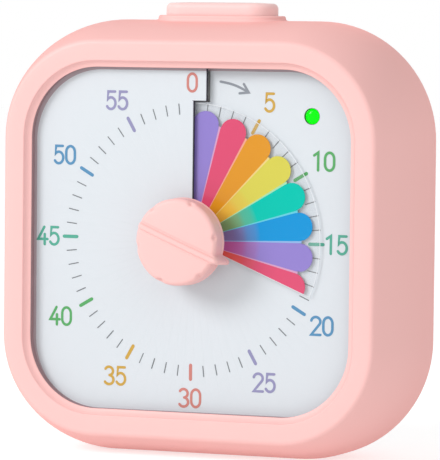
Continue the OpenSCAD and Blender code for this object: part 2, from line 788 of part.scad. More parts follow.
module motor() {
    color("slategray") facing() difference() {
        translate(motor_at) difference() {
            rod(motor_r, motor_back_h, gear_plate_back_h);
            rod(motor_shaft_r + run_gap, motor_bore_h, gear_plate_back_h + cut);
        }
        for (side = [-1, 1]) translate(motor_screw_at(side))
            rod(motor_screw_r + pilot_gap,
                gear_plate_back_h - motor_screw_len - move_gap, gear_plate_back_h + cut);
    }
}

// Small screws that hold the motor, with their heads in front of the gear plate
module motor_screws() {
    color("silver") facing() for (side = [-1, 1]) translate(motor_screw_at(side)) {
        rod(motor_screw_r, gear_plate_back_h - motor_screw_len, gear_plate_front_h + motor_head_t / 2);
        rod(motor_head_r, gear_plate_front_h, gear_plate_front_h + motor_head_t);
    }
}

module motor_shaft() {
    color("silver") facing() translate(motor_at)
        rod(motor_shaft_r, motor_bore_h + move_gap, gear_front_h + 0.2);
}

module motor_pinion() {
    color("goldenrod") facing() translate([motor_at[0], motor_at[1], gear_back_h])
        gear(pinion_teeth, motor_angle + 180 + 180 / pinion_teeth, motor_shaft_r + press_gap);
}

// ---------------------------------------------------------------- electronics

module circuit_board() {
    outline = [[board_notch_x, board_bottom], [board_right, board_bottom],
        [board_right, board_top - board_corner], [board_right - board_corner, board_top],
        [board_corner - board_left, board_top], [-board_left, board_top - board_corner],
        [-board_left, board_notch_up], [board_notch_x, board_notch_up]];
    color("seagreen") facing() difference() {
        translate([0, 0, board_back_h]) linear_extrude(board_t) polygon(outline);
        for (at = upper_screws) translate(at) rod(screw_r + 0.4, board_back_h - cut, board_front_h + cut);
        for (at = board_screws_at) translate(at)
            rod(small_screw_r + 0.1, board_back_h - cut, board_front_h + cut);
    }
}

module board_screws() {
    color("silver") facing() for (at = board_screws_at)
        screw(at, small_screw_r, small_head_r, small_head_t, small_screw_len, board_back_h);
}

module control_chip() {
    color("black") facing() translate(chip_at) {
        bar([chip_w, chip_w], board_back_h - seat_gap - chip_t, board_back_h - seat_gap);
        for (side = [-1, 1], k = [-3:3])
            translate([side * (chip_w + chip_pin[0] / 2) / 2, k * chip_w / 8, 0])
            bar([chip_pin[0], chip_pin[1]], board_back_h - chip_pin[2], board_back_h);
    }
}

module buzzer() {
    color("black") facing() translate(buzzer_at) difference() {
        rod(buzzer_r, board_back_h - buzzer_h, board_back_h);
        rod(1.2, board_back_h - buzzer_h - cut, board_back_h - buzzer_h + 1);
    }
}

module indicator_led() {
    lamp_top = sheet_back(45) + sheet_t - lamp_sunk;
    color("lime") facing() translate([lamp_x, lamp_up, 0]) {
        rod(lamp_r, lamp_flange_h - lamp_wall / 2, lamp_top - lamp_r);
        translate([0, 0, lamp_top - lamp_r]) sphere(r = lamp_r);
        rod(lamp_flange_r, lamp_flange_h - lamp_wall, lamp_flange_h);
        for (side = [-1, 1]) translate([side * lamp_lead_x, 0, 0])
            bar([lamp_lead_w, lamp_lead_w], board_front_h, lamp_flange_h - lamp_wall / 2);
    }
}

module position_sensor() {
    color("steelblue") facing() difference() {
        translate([0, sensor_up, 0])
            bar([sensor_size[0], sensor_size[1]], board_front_h, board_front_h + sensor_size[2]);
        rod(rotor_r + move_gap, board_front_h - cut, board_front_h + sensor_size[2] + cut);
    }
}

module sensor_rotor() {
    color("white") facing() difference() {
        rod(rotor_r, shaft_back_h, board_front_h + sensor_size[2] + rotor_front);
        rod(shaft_r + press_gap, shaft_back_h - cut, board_front_h + sensor_size[2] + cut);
    }
}

module tact_switch() {
    color("dimgray") facing() difference() {
        translate([-tact_w / 2, tact_top - tact_h, board_front_h])
            cube([tact_w, tact_h, plunger_r + tact_wall - button_back - board_front_h]);
        translate([0, tact_top + cut, -button_back]) rotate([90, 0, 0])
            cylinder(r = plunger_r + run_gap, h = tact_h - tact_floor + cut);
    }
}

module tact_plunger() {
    low = tact_top - tact_h + tact_floor + button_travel + 2 * seat_gap;
    color("black") facing() translate([0, plunger_top, -button_back]) rotate([90, 0, 0])
        cylinder(r = plunger_r, h = plunger_top - low);
}

module slide_switch() {
    color("dimgray") facing() translate(switch_at) difference() {
        bar([switch_size[0], switch_size[1]], board_back_h - switch_size[2], board_back_h);
        bar([lever_w + 2 * slider_travel + 2 * move_gap, lever_w + 2 * move_gap],
            board_back_h - switch_size[2] - cut, board_back_h - switch_size[2] + 1.6);
    }
}

module slider_lever() {
    color("black") facing() translate(switch_at)
        bar([lever_w, lever_w], case_in_h + seat_gap + slider_plate[2], board_back_h - switch_size[2] + 1.3);
}

module slider_cap() {
    color("lightpink") facing() translate(switch_at) {
        bar([slider_plate[0], slider_plate[1]],
            case_in_h + seat_gap, case_in_h + seat_gap + slider_plate[2]);
        bar(slider_grip, case_back_h - 0.8, case_in_h + seat_gap + 0.2);
        for (k = [-1:1]) translate([1.2 * k, 0, 0])
            bar([0.5, slider_grip[1]], case_back_h - 1.1, case_back_h - 0.6);
    }
}

module top_button() {
    top = axis_z + body_w / 2 + button_rise;
    low = axis_z + flange_top - flange_t;
    round_r = 1.1;
    color("lightpink") translate([0, button_back, 0]) {
        round_pill(button_straight, concat([[0, low], [flange_r, low], [flange_r, low + flange_t],
                [button_r, low + flange_t]],
            arc([button_r - round_r, top - 0.15 - round_r], round_r, 0, 84, 6), [[0, top]]));
        translate([0, 0, axis_z + plunger_top]) cylinder(r = stem_button_r, h = button_stem + flange_t / 2);
    }
}

// ---------------------------------------------------------------- power

module battery() {
    body_end = cell_len / 2 - 1;
    section = [[0, -cell_len / 2], [cell_r - 0.4, -cell_len / 2], [cell_r, -cell_len / 2 + 0.4],
        [cell_r, body_end - 0.5], [cell_r - 0.5, body_end], [2.75, body_end], [2.75, cell_len / 2],
        [0, cell_len / 2]];
    color("goldenrod") facing() translate([0, -cell_drop, bay_h]) rotate([0, 90, 0])
        rotate_extrude() polygon(section);
}

module battery_spring() {
    turns = 3;
    steps = 16 * turns;
    wire_r = 0.35;
    inner = -cell_len / 2 - wire_r - 0.05;
    outer = -cell_len / 2 - spring_len + wire_r / 2;
    color("silver") facing() translate([0, -cell_drop, bay_h]) {
        wire([for (i = [0:steps]) let (a = 360 * turns * i / steps, r = 2 + 2.2 * i / steps)
            [inner + (outer - inner) * i / steps, r * cos(a), r * sin(a)]], wire_r, [1, 0, 0]);
        translate([-cell_len / 2 - spring_len - contact_t, -contact_w / 2, -contact_w / 2])
            cube([contact_t, contact_w, contact_w]);
    }
}

module battery_contact() {
    color("silver") facing()
        translate([cell_len / 2 + seat_gap, -cell_drop - contact_w / 2, bay_h - contact_w / 2])
            cube([contact_t, contact_w, contact_w]);
}

// Wire that leaves a wall sideways, turns and drops to the board. way is its direction off the wall.
module board_lead(start, way, reach, r) {
    drop = start[2] - board_front_h;
    down = [0, 0, -drop];
    wire([for (step = [[0, 0], [0.4, 0.04], [0.75, 0.2], [0.95, 0.42], [1, 0.65], [1, 1]])
        start + reach * step[0] * way + step[1] * down], r, cross(way, [0, 0, 1]));
}

module battery_leads() {
    wall_up = door_high + move_gap + bay_rim + seat_gap;
    color("red") facing() for (x = battery_lead_x)
        board_lead([x, wall_up, board_front_h + lead_rise], [0, 1, 0], lead_reach, lead_r);
}

module motor_leads() {
    side_x = motor_at[0] + motor_r + seat_gap;
    color("orange") facing() for (side = [-1, 1])
        board_lead([side_x, motor_at[1] + side, board_front_h + motor_lead_rise],
            [1, 0, 0], lead_reach, lead_r);
}

module battery_door() {
    color("white") facing() difference() {
        union() {
            translate([-door_w / 2, barrel_up, case_back_h]) cube([door_w, door_high - barrel_up, door_t]);
            translate([-door_w / 2, barrel_up, barrel_h]) rotate([0, 90, 0]) rod(barrel_r, 0, door_w);
            translate([-door_w / 2 - hinge_pin_len, barrel_up, barrel_h]) rotate([0, 90, 0])
                rod(hinge_pin_r, 0, door_w + 2 * hinge_pin_len);
            translate([-nib[0] / 2, door_high + nib_proud - nib[1], case_back_h + (door_t - nib[2]) / 2])
                cube(nib);
        }
        for (k = [2:5]) translate([-thumb_r, door_high - rib_gap * k, case_back_h - cut])
            cube([2 * thumb_r, rib_gap / 2, cut + 0.3]);
    }
}

silicone_sleeve();
front_case();
rear_case();
dial_sheet();
shaft_bush();
gear_plate();
motor();
circuit_board();
control_chip();
buzzer();
indicator_led();
tact_switch();
slide_switch();
position_sensor();
battery();
battery_spring();
battery_contact();
battery_leads();
motor_leads();
case_screws();
board_screws();
plate_screws();
motor_screws();
knob();
knob_shaft();
drive_gear();
clutch_spring();
shaft_clip();
sensor_rotor();
film_hub();
petal_film();
motor_pinion();
motor_shaft();
top_button();
tact_plunger();
slider_cap();
slider_lever();
battery_door();
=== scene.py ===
# %% [markdown]
# # A visual countdown timer, dressed in Blender
#
# The real object is a square desk timer in a soft pink sleeve. Its knob winds a film printed with
# coloured petals out through a slit in the dial, and the petals that show are the time that is left.
#
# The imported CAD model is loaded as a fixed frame, so nothing here moves or resizes a solid. The cells
# give each solid its finish and add what the solids leave out: the printed numbers and marks, the
# petals on the film, and the smooth skins of the sleeve and the knob. All of it is mesh code that
# starts from a few sizes, so a changed value carries through to every point that hangs on it.
#
# Lengths inside the cells are in millimetres, measured from the middle of the dial where that is
# easier, and `place` turns them into metres in the model's own frame.

# %% Load the frame
import math

import bmesh
import bpy
from mathutils import Matrix, Vector


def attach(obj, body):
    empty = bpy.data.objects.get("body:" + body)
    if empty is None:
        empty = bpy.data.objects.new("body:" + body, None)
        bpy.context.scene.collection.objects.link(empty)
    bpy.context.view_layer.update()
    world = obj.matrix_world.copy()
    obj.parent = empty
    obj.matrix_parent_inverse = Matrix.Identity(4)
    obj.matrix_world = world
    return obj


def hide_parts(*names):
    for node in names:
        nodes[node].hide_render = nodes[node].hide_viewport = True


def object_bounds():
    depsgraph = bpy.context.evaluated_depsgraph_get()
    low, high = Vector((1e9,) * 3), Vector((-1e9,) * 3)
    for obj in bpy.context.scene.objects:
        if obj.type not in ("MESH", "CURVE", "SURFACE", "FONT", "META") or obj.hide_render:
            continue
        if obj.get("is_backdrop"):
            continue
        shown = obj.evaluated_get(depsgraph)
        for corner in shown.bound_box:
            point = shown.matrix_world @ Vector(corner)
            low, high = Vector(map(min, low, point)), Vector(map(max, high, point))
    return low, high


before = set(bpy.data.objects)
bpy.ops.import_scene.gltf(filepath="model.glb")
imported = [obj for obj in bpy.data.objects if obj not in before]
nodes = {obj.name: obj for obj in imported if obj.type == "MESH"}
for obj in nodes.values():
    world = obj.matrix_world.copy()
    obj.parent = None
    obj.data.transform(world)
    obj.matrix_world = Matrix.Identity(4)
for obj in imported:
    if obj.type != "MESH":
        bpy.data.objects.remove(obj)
cad_low, cad_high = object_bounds()
print("solids in the frame:", len(nodes))

# %% [markdown]
# ## Camera
# The camera stands to the right of the dial and a little above its middle. From so far away the square
# face stays nearly square, where a short lens from close by would swell the near edge. The view is
# rolled by about half a degree. A constraint that aims a camera keeps it level, so the camera's three
# axes are worked out here instead and set as one matrix.

# %% Camera
AZIMUTH, ELEVATION, ROLL = math.radians(22.2), math.radians(3.0), math.radians(0.65)
CAMERA_AT = Vector((0.303385, -0.742325, 0.08813))
AIMED_AT = Vector((0.006, -0.014, 0.047))
LENS, SENSOR_W = 302.5, 36
CLIP_NEAR, CLIP_FAR = 0.05, 20

back = Vector((math.sin(AZIMUTH) * math.cos(ELEVATION),
               -math.cos(AZIMUTH) * math.cos(ELEVATION), math.sin(ELEVATION)))
level = Vector((math.cos(AZIMUTH), math.sin(AZIMUTH), 0))
upward = back.cross(level)
right = math.cos(ROLL) * level + math.sin(ROLL) * upward
upright = math.cos(ROLL) * upward - math.sin(ROLL) * level

camera_data = bpy.data.cameras.new("camera")
camera_data.sensor_width = SENSOR_W
camera_data.lens = LENS
camera_data.clip_start = CLIP_NEAR
camera_data.clip_end = CLIP_FAR
camera = bpy.data.objects.new("camera", camera_data)
bpy.context.collection.objects.link(camera)
camera.matrix_world = Matrix.Translation(CAMERA_AT) @ Matrix((right, upright, back)).transposed().to_4x4()
bpy.context.scene.camera = camera
bpy.context.scene.view_settings.view_transform = "Standard"
print("camera distance in metres:", round((CAMERA_AT - AIMED_AT).length, 3))

# %% [markdown]
# ## Materials
# A moulded surface is never one flat colour: its tone drifts a little, and from close by it has a
# grain. A painted image could hold both, but it would need unwrapping and would blur when seen close.
# Two noise textures in the object's own space do it at any distance: a broad one mixes two tones, and a
# fine one drives a bump. `paint` reads a colour as it looks on screen, and `finish` builds the nodes.
# `grain` and `patch` are the sizes of the fine and the broad noise in millimetres, and `uneven` is the
# share by which the two tones are darker and lighter than the colour.

# %% Material makers
PER_METRE = 1000
TONE_DETAIL, GRAIN_DETAIL, BUMP_SHARE = 3, 2, 1 / 8


def paint(code):
    """A colour code such as F8D0CC as linear red, green, blue and one for alpha."""
    parts = [int(code[i:i + 2], 16) / 255 for i in (0, 2, 4)]
    return tuple(p / 12.92 if p <= 0.04045 else ((p + 0.055) / 1.055) ** 2.4 for p in parts) + (1,)


def finish(name, code, roughness=0.5, grain=0.4, bump=0.05, uneven=0.04, patch=6.0, **sockets):
    """A node material. Extra names are sockets of the shader, with _ for a space."""
    mat = bpy.data.materials.new(name)
    mat.use_nodes = True
    tree = mat.node_tree
    link = tree.links.new
    shader = tree.nodes["Principled BSDF"]
    shader.inputs["Roughness"].default_value = roughness
    for key, value in sockets.items():
        shader.inputs[key.replace("_", " ")].default_value = value
    where = tree.nodes.new("ShaderNodeTexCoord")

    tone = tree.nodes.new("ShaderNodeTexNoise")
    tone.inputs["Scale"].default_value = PER_METRE / patch
    tone.inputs["Detail"].default_value = TONE_DETAIL
    link(where.outputs["Object"], tone.inputs["Vector"])
    ramp = tree.nodes.new("ShaderNodeMixRGB")
    base = paint(code)
    ramp.inputs["Color1"].default_value = tuple(c * (1 - uneven) for c in base[:3]) + (1,)
    ramp.inputs["Color2"].default_value = tuple(min(1, c * (1 + uneven)) for c in base[:3]) + (1,)
    link(tone.outputs["Fac"], ramp.inputs["Fac"])
    link(ramp.outputs["Color"], shader.inputs["Base Color"])

    fine = tree.nodes.new("ShaderNodeTexNoise")
    fine.inputs["Scale"].default_value = PER_METRE / grain
    fine.inputs["Detail"].default_value = GRAIN_DETAIL
    link(where.outputs["Object"], fine.inputs["Vector"])
    relief = tree.nodes.new("ShaderNodeBump")
    relief.inputs["Strength"].default_value = bump
    relief.inputs["Distance"].default_value = BUMP_SHARE * grain / PER_METRE
    link(fine.outputs["Fac"], relief.inputs["Height"])
    link(relief.outputs["Normal"], shader.inputs["Normal"])
    return mat


print("mid grey on screen is", round(paint("808080")[0], 3), "in linear light")

# %% [markdown]
# A solid of the frame keeps its mesh, and only its material slot changes. Clearing the slots first
# makes sure that no face still points at the plain colour that came with the solid.

# %% Dressing a solid
def wear(mat, *names):
    """Puts a material on the named solids."""
    for name in names:
        slots = nodes[name].data.materials
        slots.clear()
        slots.append(mat)
        for face in nodes[name].data.polygons:
            face.material_index = 0


print("solids that can be dressed:", len(nodes))

# %% [markdown]
# ## Finishes outside
# The sleeve is soft silicone rubber. It scatters light in a thin powdery layer, which a little sheen
# gives, tinted like the rubber so that its rounded edges glow pink and not grey; subsurface scattering
# would do it too, but slowly. A weak rough coat adds the rubber's broad highlight. The knob and the
# buttons are satin plastic. The buttons take a paler copy of the knob's pink, painted light for the top
# button's brightly lit face. The case has a fine moulded texture, and the dial is a smooth printed sheet.

# %% Finishes outside
silicone = finish("pink_silicone", "F9C4C0", 0.62, grain=0.25, bump=0.06, uneven=0.012, patch=30,
                  Specular_IOR_Level=0.35, Sheen_Weight=0.5, Sheen_Roughness=0.5,
                  Sheen_Tint=(1, 0.3, 0.26, 1), Coat_Weight=0.2, Coat_Roughness=0.28)
pink_plastic = finish("pink_plastic", "F8C4C0", 0.48, grain=0.3, bump=0.04, uneven=0.012, patch=12,
                      Specular_IOR_Level=0.4)
# A paler copy of the knob's pink: painted light on the buttons.
button_pink_painted_light = finish("button_pink_painted_light", "FAD1CE", 0.48, grain=0.3, bump=0.04, uneven=0.012, patch=12,
                        Specular_IOR_Level=0.4)
white_plastic = finish("white_plastic", "ECECEA", 0.55, grain=0.5, bump=0.15, uneven=0.02, patch=8)
dial_plastic = finish("dial_plastic", "D6DCE1", 0.42, grain=0.6, bump=0.02, uneven=0.008, patch=40,
                      Specular_IOR_Level=0.35)

wear(button_pink_painted_light, "top_button", "slider_cap")
wear(white_plastic, "front_case", "rear_case", "battery_door", "film_hub", "sensor_rotor")
wear(dial_plastic, "dial_sheet")
print("materials with the outer finishes:", len(bpy.data.materials))

# %% [markdown]
# ## Finishes inside
# What the case holds is seen only when it is opened, but each piece still has its own material: plain
# plastics, a green board under clear lacquer, a printed sleeve round the cell, and turned or plated
# metal. Metals are set by `Metallic`, so their colour shows in what they mirror.

# %% Finishes inside
grey_plastic = finish("grey_plastic", "B9BABD", 0.5, grain=0.5, bump=0.1)
gear_plastic = finish("gear_plastic", "EFEBDA", 0.38, grain=0.4, bump=0.04)
blue_plastic = finish("blue_plastic", "3D6BA8", 0.4, grain=0.4, bump=0.05)
black_plastic = finish("black_plastic", "1C1C1F", 0.45, grain=0.4, bump=0.12, uneven=0.15)
board_green = finish("board_green", "1C6B42", 0.3, grain=1.0, bump=0.05, uneven=0.12, patch=3,
                     Coat_Weight=0.4, Coat_Roughness=0.15)
cell_jacket = finish("cell_jacket", "33404F", 0.32, grain=2.0, bump=0.03, uneven=0.08, patch=20,
                     Coat_Weight=0.5, Coat_Roughness=0.1)
motor_steel = finish("motor_steel", "A9ABB0", 0.35, grain=0.3, bump=0.08, Metallic=1.0)
steel = finish("steel", "C9C9CE", 0.28, grain=0.25, bump=0.06, Metallic=1.0)
brass = finish("brass", "D9B46A", 0.3, grain=0.2, bump=0.08, Metallic=1.0)
red_wire = finish("red_wire", "BF2822", 0.42, grain=0.6, bump=0.05, uneven=0.06)

wear(grey_plastic, "gear_plate", "slide_switch")
wear(gear_plastic, "drive_gear")
wear(blue_plastic, "position_sensor")
wear(black_plastic, "control_chip", "buzzer", "tact_switch", "tact_plunger", "slider_lever")
wear(board_green, "circuit_board")
wear(cell_jacket, "battery")
wear(motor_steel, "motor")
wear(steel, "battery_spring", "battery_contact", "case_screws", "board_screws", "plate_screws",
     "motor_screws", "knob_shaft", "clutch_spring", "shaft_clip", "motor_shaft")
wear(brass, "shaft_bush", "motor_pinion")
wear(red_wire, "battery_leads", "motor_leads")
print("materials with the inner ones:", len(bpy.data.materials))

# %% [markdown]
# ## Places on the dial
# The dial isn't flat. It is a single turn of a shallow screw that rises by one pitch, clockwise from the
# slit at twelve, so that the film can slide out of the slit's low side and lie on top. A small tab
# right of the slit, above the film, belongs to the end of the turn. Every print takes its height from
# the one rule in `dial_top`, so it lies on the sheet all the way round; shrinking flat prints onto the
# sheet with a modifier would go wrong at the slit, where two heights meet.

# %% Dial geometry
DIAL_UP, DIAL_H, PITCH = 44.6, 14.0, 1.5
PRINT_R = 28.9
TAB_X, TAB_UP = 3.1, 28.6


def turn_at(x, up):
    """Degrees clockwise from twelve, and past 360 on the tab."""
    turn = math.degrees(math.atan2(x, up)) % 360
    return turn + 360 if 0 <= x < TAB_X and up > TAB_UP else turn


def dial_top(turn):
    """How far out the dial lies at a turn, in millimetres."""
    return DIAL_H + PITCH * (turn / 360 - 0.5)


def place(x, up, h):
    """Millimetres from the dial's middle, and outward from the model's middle plane, as metres."""
    return (x / PER_METRE, -h / PER_METRE, (DIAL_UP + up) / PER_METRE)


print("dial height at the slit, low and high side:", dial_top(0), dial_top(360))

# %% [markdown]
# Each added piece is a closed solid made from a list of points and faces, and rides on the body that
# carries it. Where a list goes the other way round its faces look inward, which a renderer forgives
# and an exported mesh doesn't, so one helper turns them all outward.

# %% Piece maker
def face_outward(mesh):
    """Turns the faces of every closed shell in a mesh outward."""
    work = bmesh.new()
    work.from_mesh(mesh)
    bmesh.ops.recalc_face_normals(work, faces=work.faces)
    work.to_mesh(mesh)
    work.free()


def solid(name, points, faces, mat, body, smooth=False):
    """A piece from points in metres and faces, riding on a body."""
    mesh = bpy.data.meshes.new(name)
    mesh.from_pydata(points, [], faces)
    mesh.validate()
    face_outward(mesh)
    mesh.materials.append(mat)
    for face in mesh.polygons:
        face.use_smooth = smooth
    piece = bpy.data.objects.new(name, mesh)
    bpy.context.collection.objects.link(piece)
    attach(piece, body)
    return piece


# %% [markdown]
# ## Strokes
# Every printed mark is a thin line of ink with round ends. A text object or a curve with a bevel could
# make it, but neither follows the dial's rise. Here a stroke is a chain of points, and the ink is a
# closed sliver on both sides of it that sinks a little into the sheet and stands 0.03 mm proud. Where
# strokes of one mark cross, each lies a hair higher than the one before, so that no faces coincide.

# %% Stroke edges
CAP_ANGLES = (35, 65, 85)
LEAST_MITRE = 0.5


def sweep(middle, radii, start, end, steps):
    """Points along an arc, in degrees anticlockwise from three o'clock."""
    spans = [math.radians(start + (end - start) * k / steps) for k in range(steps + 1)]
    return [(middle[0] + radii[0] * math.cos(a), middle[1] + radii[1] * math.sin(a)) for a in spans]


def band(path, width, closed=False):
    """Left and right edges of a stroke, with its round ends drawn in."""
    pts = [Vector(p) for p in path]
    count = len(pts)
    left, right_side = [], []
    for k, p in enumerate(pts):
        before = pts[k - 1] if k or closed else p
        after = pts[(k + 1) % count] if k < count - 1 or closed else p
        one = (p - before).normalized() if p != before else (after - p).normalized()
        two = (after - p).normalized() if p != after else one
        normal = (Vector((-one.y, one.x)) + Vector((-two.y, two.x))).normalized()
        reach = width / 2 / max(LEAST_MITRE, normal.dot(Vector((-two.y, two.x))))
        left.append(p + normal * reach)
        right_side.append(p - normal * reach)
    if not closed:
        for end, way in ((0, pts[0] - pts[1]), (-1, pts[-1] - pts[-2])):
            way = way.normalized()
            cross = Vector((-way.y, way.x))
            for angle in CAP_ANGLES:
                a = math.radians(angle)
                tip = pts[end] + way * (width / 2) * math.sin(a)
                half = cross * (width / 2) * math.cos(a)
                if end == 0:
                    left.insert(0, tip - half)
                    right_side.insert(0, tip + half)
                else:
                    left.append(tip + half)
                    right_side.append(tip - half)
    return left, right_side


print("points on each round end:", 2 * len(CAP_ANGLES))

# %% [markdown]
# The two edges become a sliver with four corners at each point, two on top and two in the sheet. A
# closed stroke, such as the zero, joins its end to its start, and an open one gets two end faces.

# %% Ink
INK_T, INK_SINK, INK_OVER, OVER_LEVELS = 0.03, 0.05, 0.01, 3


def ink(strokes, height=dial_top, turn_of=turn_at):
    """Points and faces of closed slivers for several strokes. A stroke is (path, width, closed)."""
    points, faces = [], []
    for over, (path, width, closed) in enumerate(strokes):
        top = INK_T + INK_OVER * (over % OVER_LEVELS)
        left, right_side = band(path, width, closed)
        first, count = len(points), len(left)
        for l, r in zip(left, right_side):
            for p, rise in ((l, top), (r, top), (r, -INK_SINK), (l, -INK_SINK)):
                points.append(place(p.x, p.y, height(turn_of(p.x, p.y)) + rise))
        for k in range(count if closed else count - 1):
            a, b = first + 4 * k, first + 4 * ((k + 1) % count)
            faces += [(a + s, a + (s + 1) % 4, b + (s + 1) % 4, b + s) for s in range(4)]
        if not closed:
            end = first + 4 * (count - 1)
            faces += [(first + 3, first + 2, first + 1, first), (end, end + 1, end + 2, end + 3)]
    return points, faces


print("ink stands proud by millimetres:", INK_T)

# %% [markdown]
# ## Numbers and marks
# The numbers are a light rounded face, printed every five minutes. Six digit shapes are enough for all
# of them. Each is drawn as one or two strokes of arcs and straight lines about its own middle, and the
# same strokes are moved to each place on the dial.

# %% Digit shapes
HALF_W, HALF_H = 0.98, 1.8
DIGITS = {
    "0": [(sweep((0, 0.55), (HALF_W, HALF_H - 0.55), 0, 180, 14)
           + sweep((0, -0.55), (HALF_W, HALF_H - 0.55), 180, 360, 14), True)],
    "1": [([(-0.72, 1.2), (0.16, 1.8), (0.16, -1.8)], False)],
    "2": [(sweep((0, 0.86), (HALF_W, 0.94), 168, -30, 16) + [(-0.95, -1.8), (1.02, -1.8)], False)],
    "3": [(sweep((-0.06, 0.92), (0.9, 0.88), 150, -80, 16), False),
          (sweep((-0.06, -0.86), (1.02, 0.94), 82, -150, 16), False)],
    "4": [([(0.34, 1.8), (-1.04, -0.72), (1.06, -0.72)], False), ([(0.44, 0.3), (0.44, -1.8)], False)],
    "5": [([(0.86, 1.8), (-0.66, 1.8), (-0.8, 0.16)]
           + sweep((-0.06, -0.6), (1.02, 1.2), 126, -148, 18), False)],
}
ADVANCE, STROKE = 2.62, 0.54
print("digits drawn:", "".join(DIGITS))

# %% [markdown]
# The numbers go round in six colours that repeat. The inks are matt and slightly uneven, as screen
# printing is. The places are shares of the circle that the thick marks end on. They don't lie on one
# exact circle, because numbers of unlike width are set by eye to look equally far from their marks.

# %% Inks and places
NUMBERS = [("0", 0.0, 1.116), ("5", 0.57, 0.984), ("10", 0.98, 0.58), ("15", 1.084, 0),
           ("20", 0.986, -0.57), ("25", 0.56, -0.986), ("30", -0.004, -1.12), ("35", -0.582, -0.986),
           ("40", -1.01, -0.574), ("45", -1.11, 0), ("50", -0.986, 0.584), ("55", -0.58, 0.98)]
INKS = {"red": "C77B72", "amber": "C69D3B", "green": "4EA15B", "sea": "4BA48D", "blue": "4E8AB3",
        "lilac": "8E8CB3"}


def screen_ink(name, code, roughness=0.5):
    """A thin matt layer of printing ink."""
    return finish("ink_" + name, code, roughness, grain=0.3, bump=0.02, uneven=0.03, patch=4)


ink_finish = {name: screen_ink(name, code, 0.45) for name, code in INKS.items()}
grey_ink = screen_ink("grey", "6E7377")
arrow_ink = screen_ink("arrow", "868C94")
print("inks mixed:", len(ink_finish) + 2)

# %% [markdown]
# Each number has a thick mark of its own colour, but for the zero, where the slit stands. Thin grey
# marks stand for the minutes between. A number and its mark are one piece, and all thin marks are one.

# %% Numbers and marks
MARK_NEAR, MARK_INSET, MARK_W = 0.873 * PRINT_R + 0.4, 0.4, 0.7
MINUTE_NEAR, MINUTE_FAR, MINUTE_W = 0.895 * PRINT_R, 0.968 * PRINT_R, 0.2


def radial(turn, near, far):
    """A straight path outward between two radii."""
    a = math.radians(turn)
    return [(r * math.sin(a), r * math.cos(a)) for r in (near, far)]


for k, (text, x, up) in enumerate(NUMBERS):
    colour = list(INKS)[k % len(INKS)]
    strokes = [(radial(30 * k, MARK_NEAR, PRINT_R - MARK_INSET), MARK_W, False)] if k else []
    for place_in, digit in enumerate(text):
        shift = ADVANCE * (place_in - (len(text) - 1) / 2)
        for path, closed in DIGITS[digit]:
            moved = [(px + x * PRINT_R + shift, py + up * PRINT_R) for px, py in path]
            strokes.append((moved, STROKE, closed))
    points, faces = ink(strokes)
    solid("print_" + text, points, faces, ink_finish[colour], "casing")

minutes = [(radial(6 * k, MINUTE_NEAR, MINUTE_FAR), MINUTE_W, False) for k in range(60) if k % 5]
points, faces = ink(minutes)
solid("print_minutes", points, faces, grey_ink, "casing")
print("numbers printed:", len(NUMBERS), "minute marks:", len(minutes))

# %% [markdown]
# A grey arrow beside the zero shows which way the knob turns. Its shaft is a straight line that a half
# wave bows a little upward, and its head is one bent stroke through the tip.

# %% Arrow
ARROW_TAIL, ARROW_TIP = Vector((5.65, 32.5)), Vector((11.85, 30.4))
BARB_UPPER, BARB_LOWER = (10.75, 32.1), (9.85, 30.2)
ARROW_BOW, ARROW_W, ARROW_STEPS = Vector((0.3, 0.95)).normalized() * 0.36, 0.5, 10

shaft = [ARROW_TAIL.lerp(ARROW_TIP, k / ARROW_STEPS) + ARROW_BOW * math.sin(math.pi * k / ARROW_STEPS)
         for k in range(ARROW_STEPS + 1)]
arrow = [(shaft, ARROW_W, False), ([BARB_UPPER, ARROW_TIP, BARB_LOWER], ARROW_W, False)]
points, faces = ink(arrow)
solid("print_arrow", points, faces, arrow_ink, "casing")
print("points along the arrow:", len(shaft))

# %% [markdown]
# ## Film and petals
# The film is a clear sheet wound once round the knob's stem, and at rest a little under a third of its
# turn stands out of the slit. It is thin, flat plastic, so all that shows of it is what it mirrors at
# a slant. A glass shader would bend the light twice for the same look and cost much more time; here a
# transparent shader is mixed with a mirror, and Layer Weight gives the mirror more of it at a slant.

# %% Clear film
CLEAR, MIRROR_ROUGH = (0.988, 0.99, 0.992, 1), 0.04
MIRROR_LEAST, MIRROR_GAIN, MIRROR_POWER = 0.04, 0.7, 4
WAVE_SCALE, WAVE_STRENGTH, WAVE_H = 40, 0.05, 0.0004


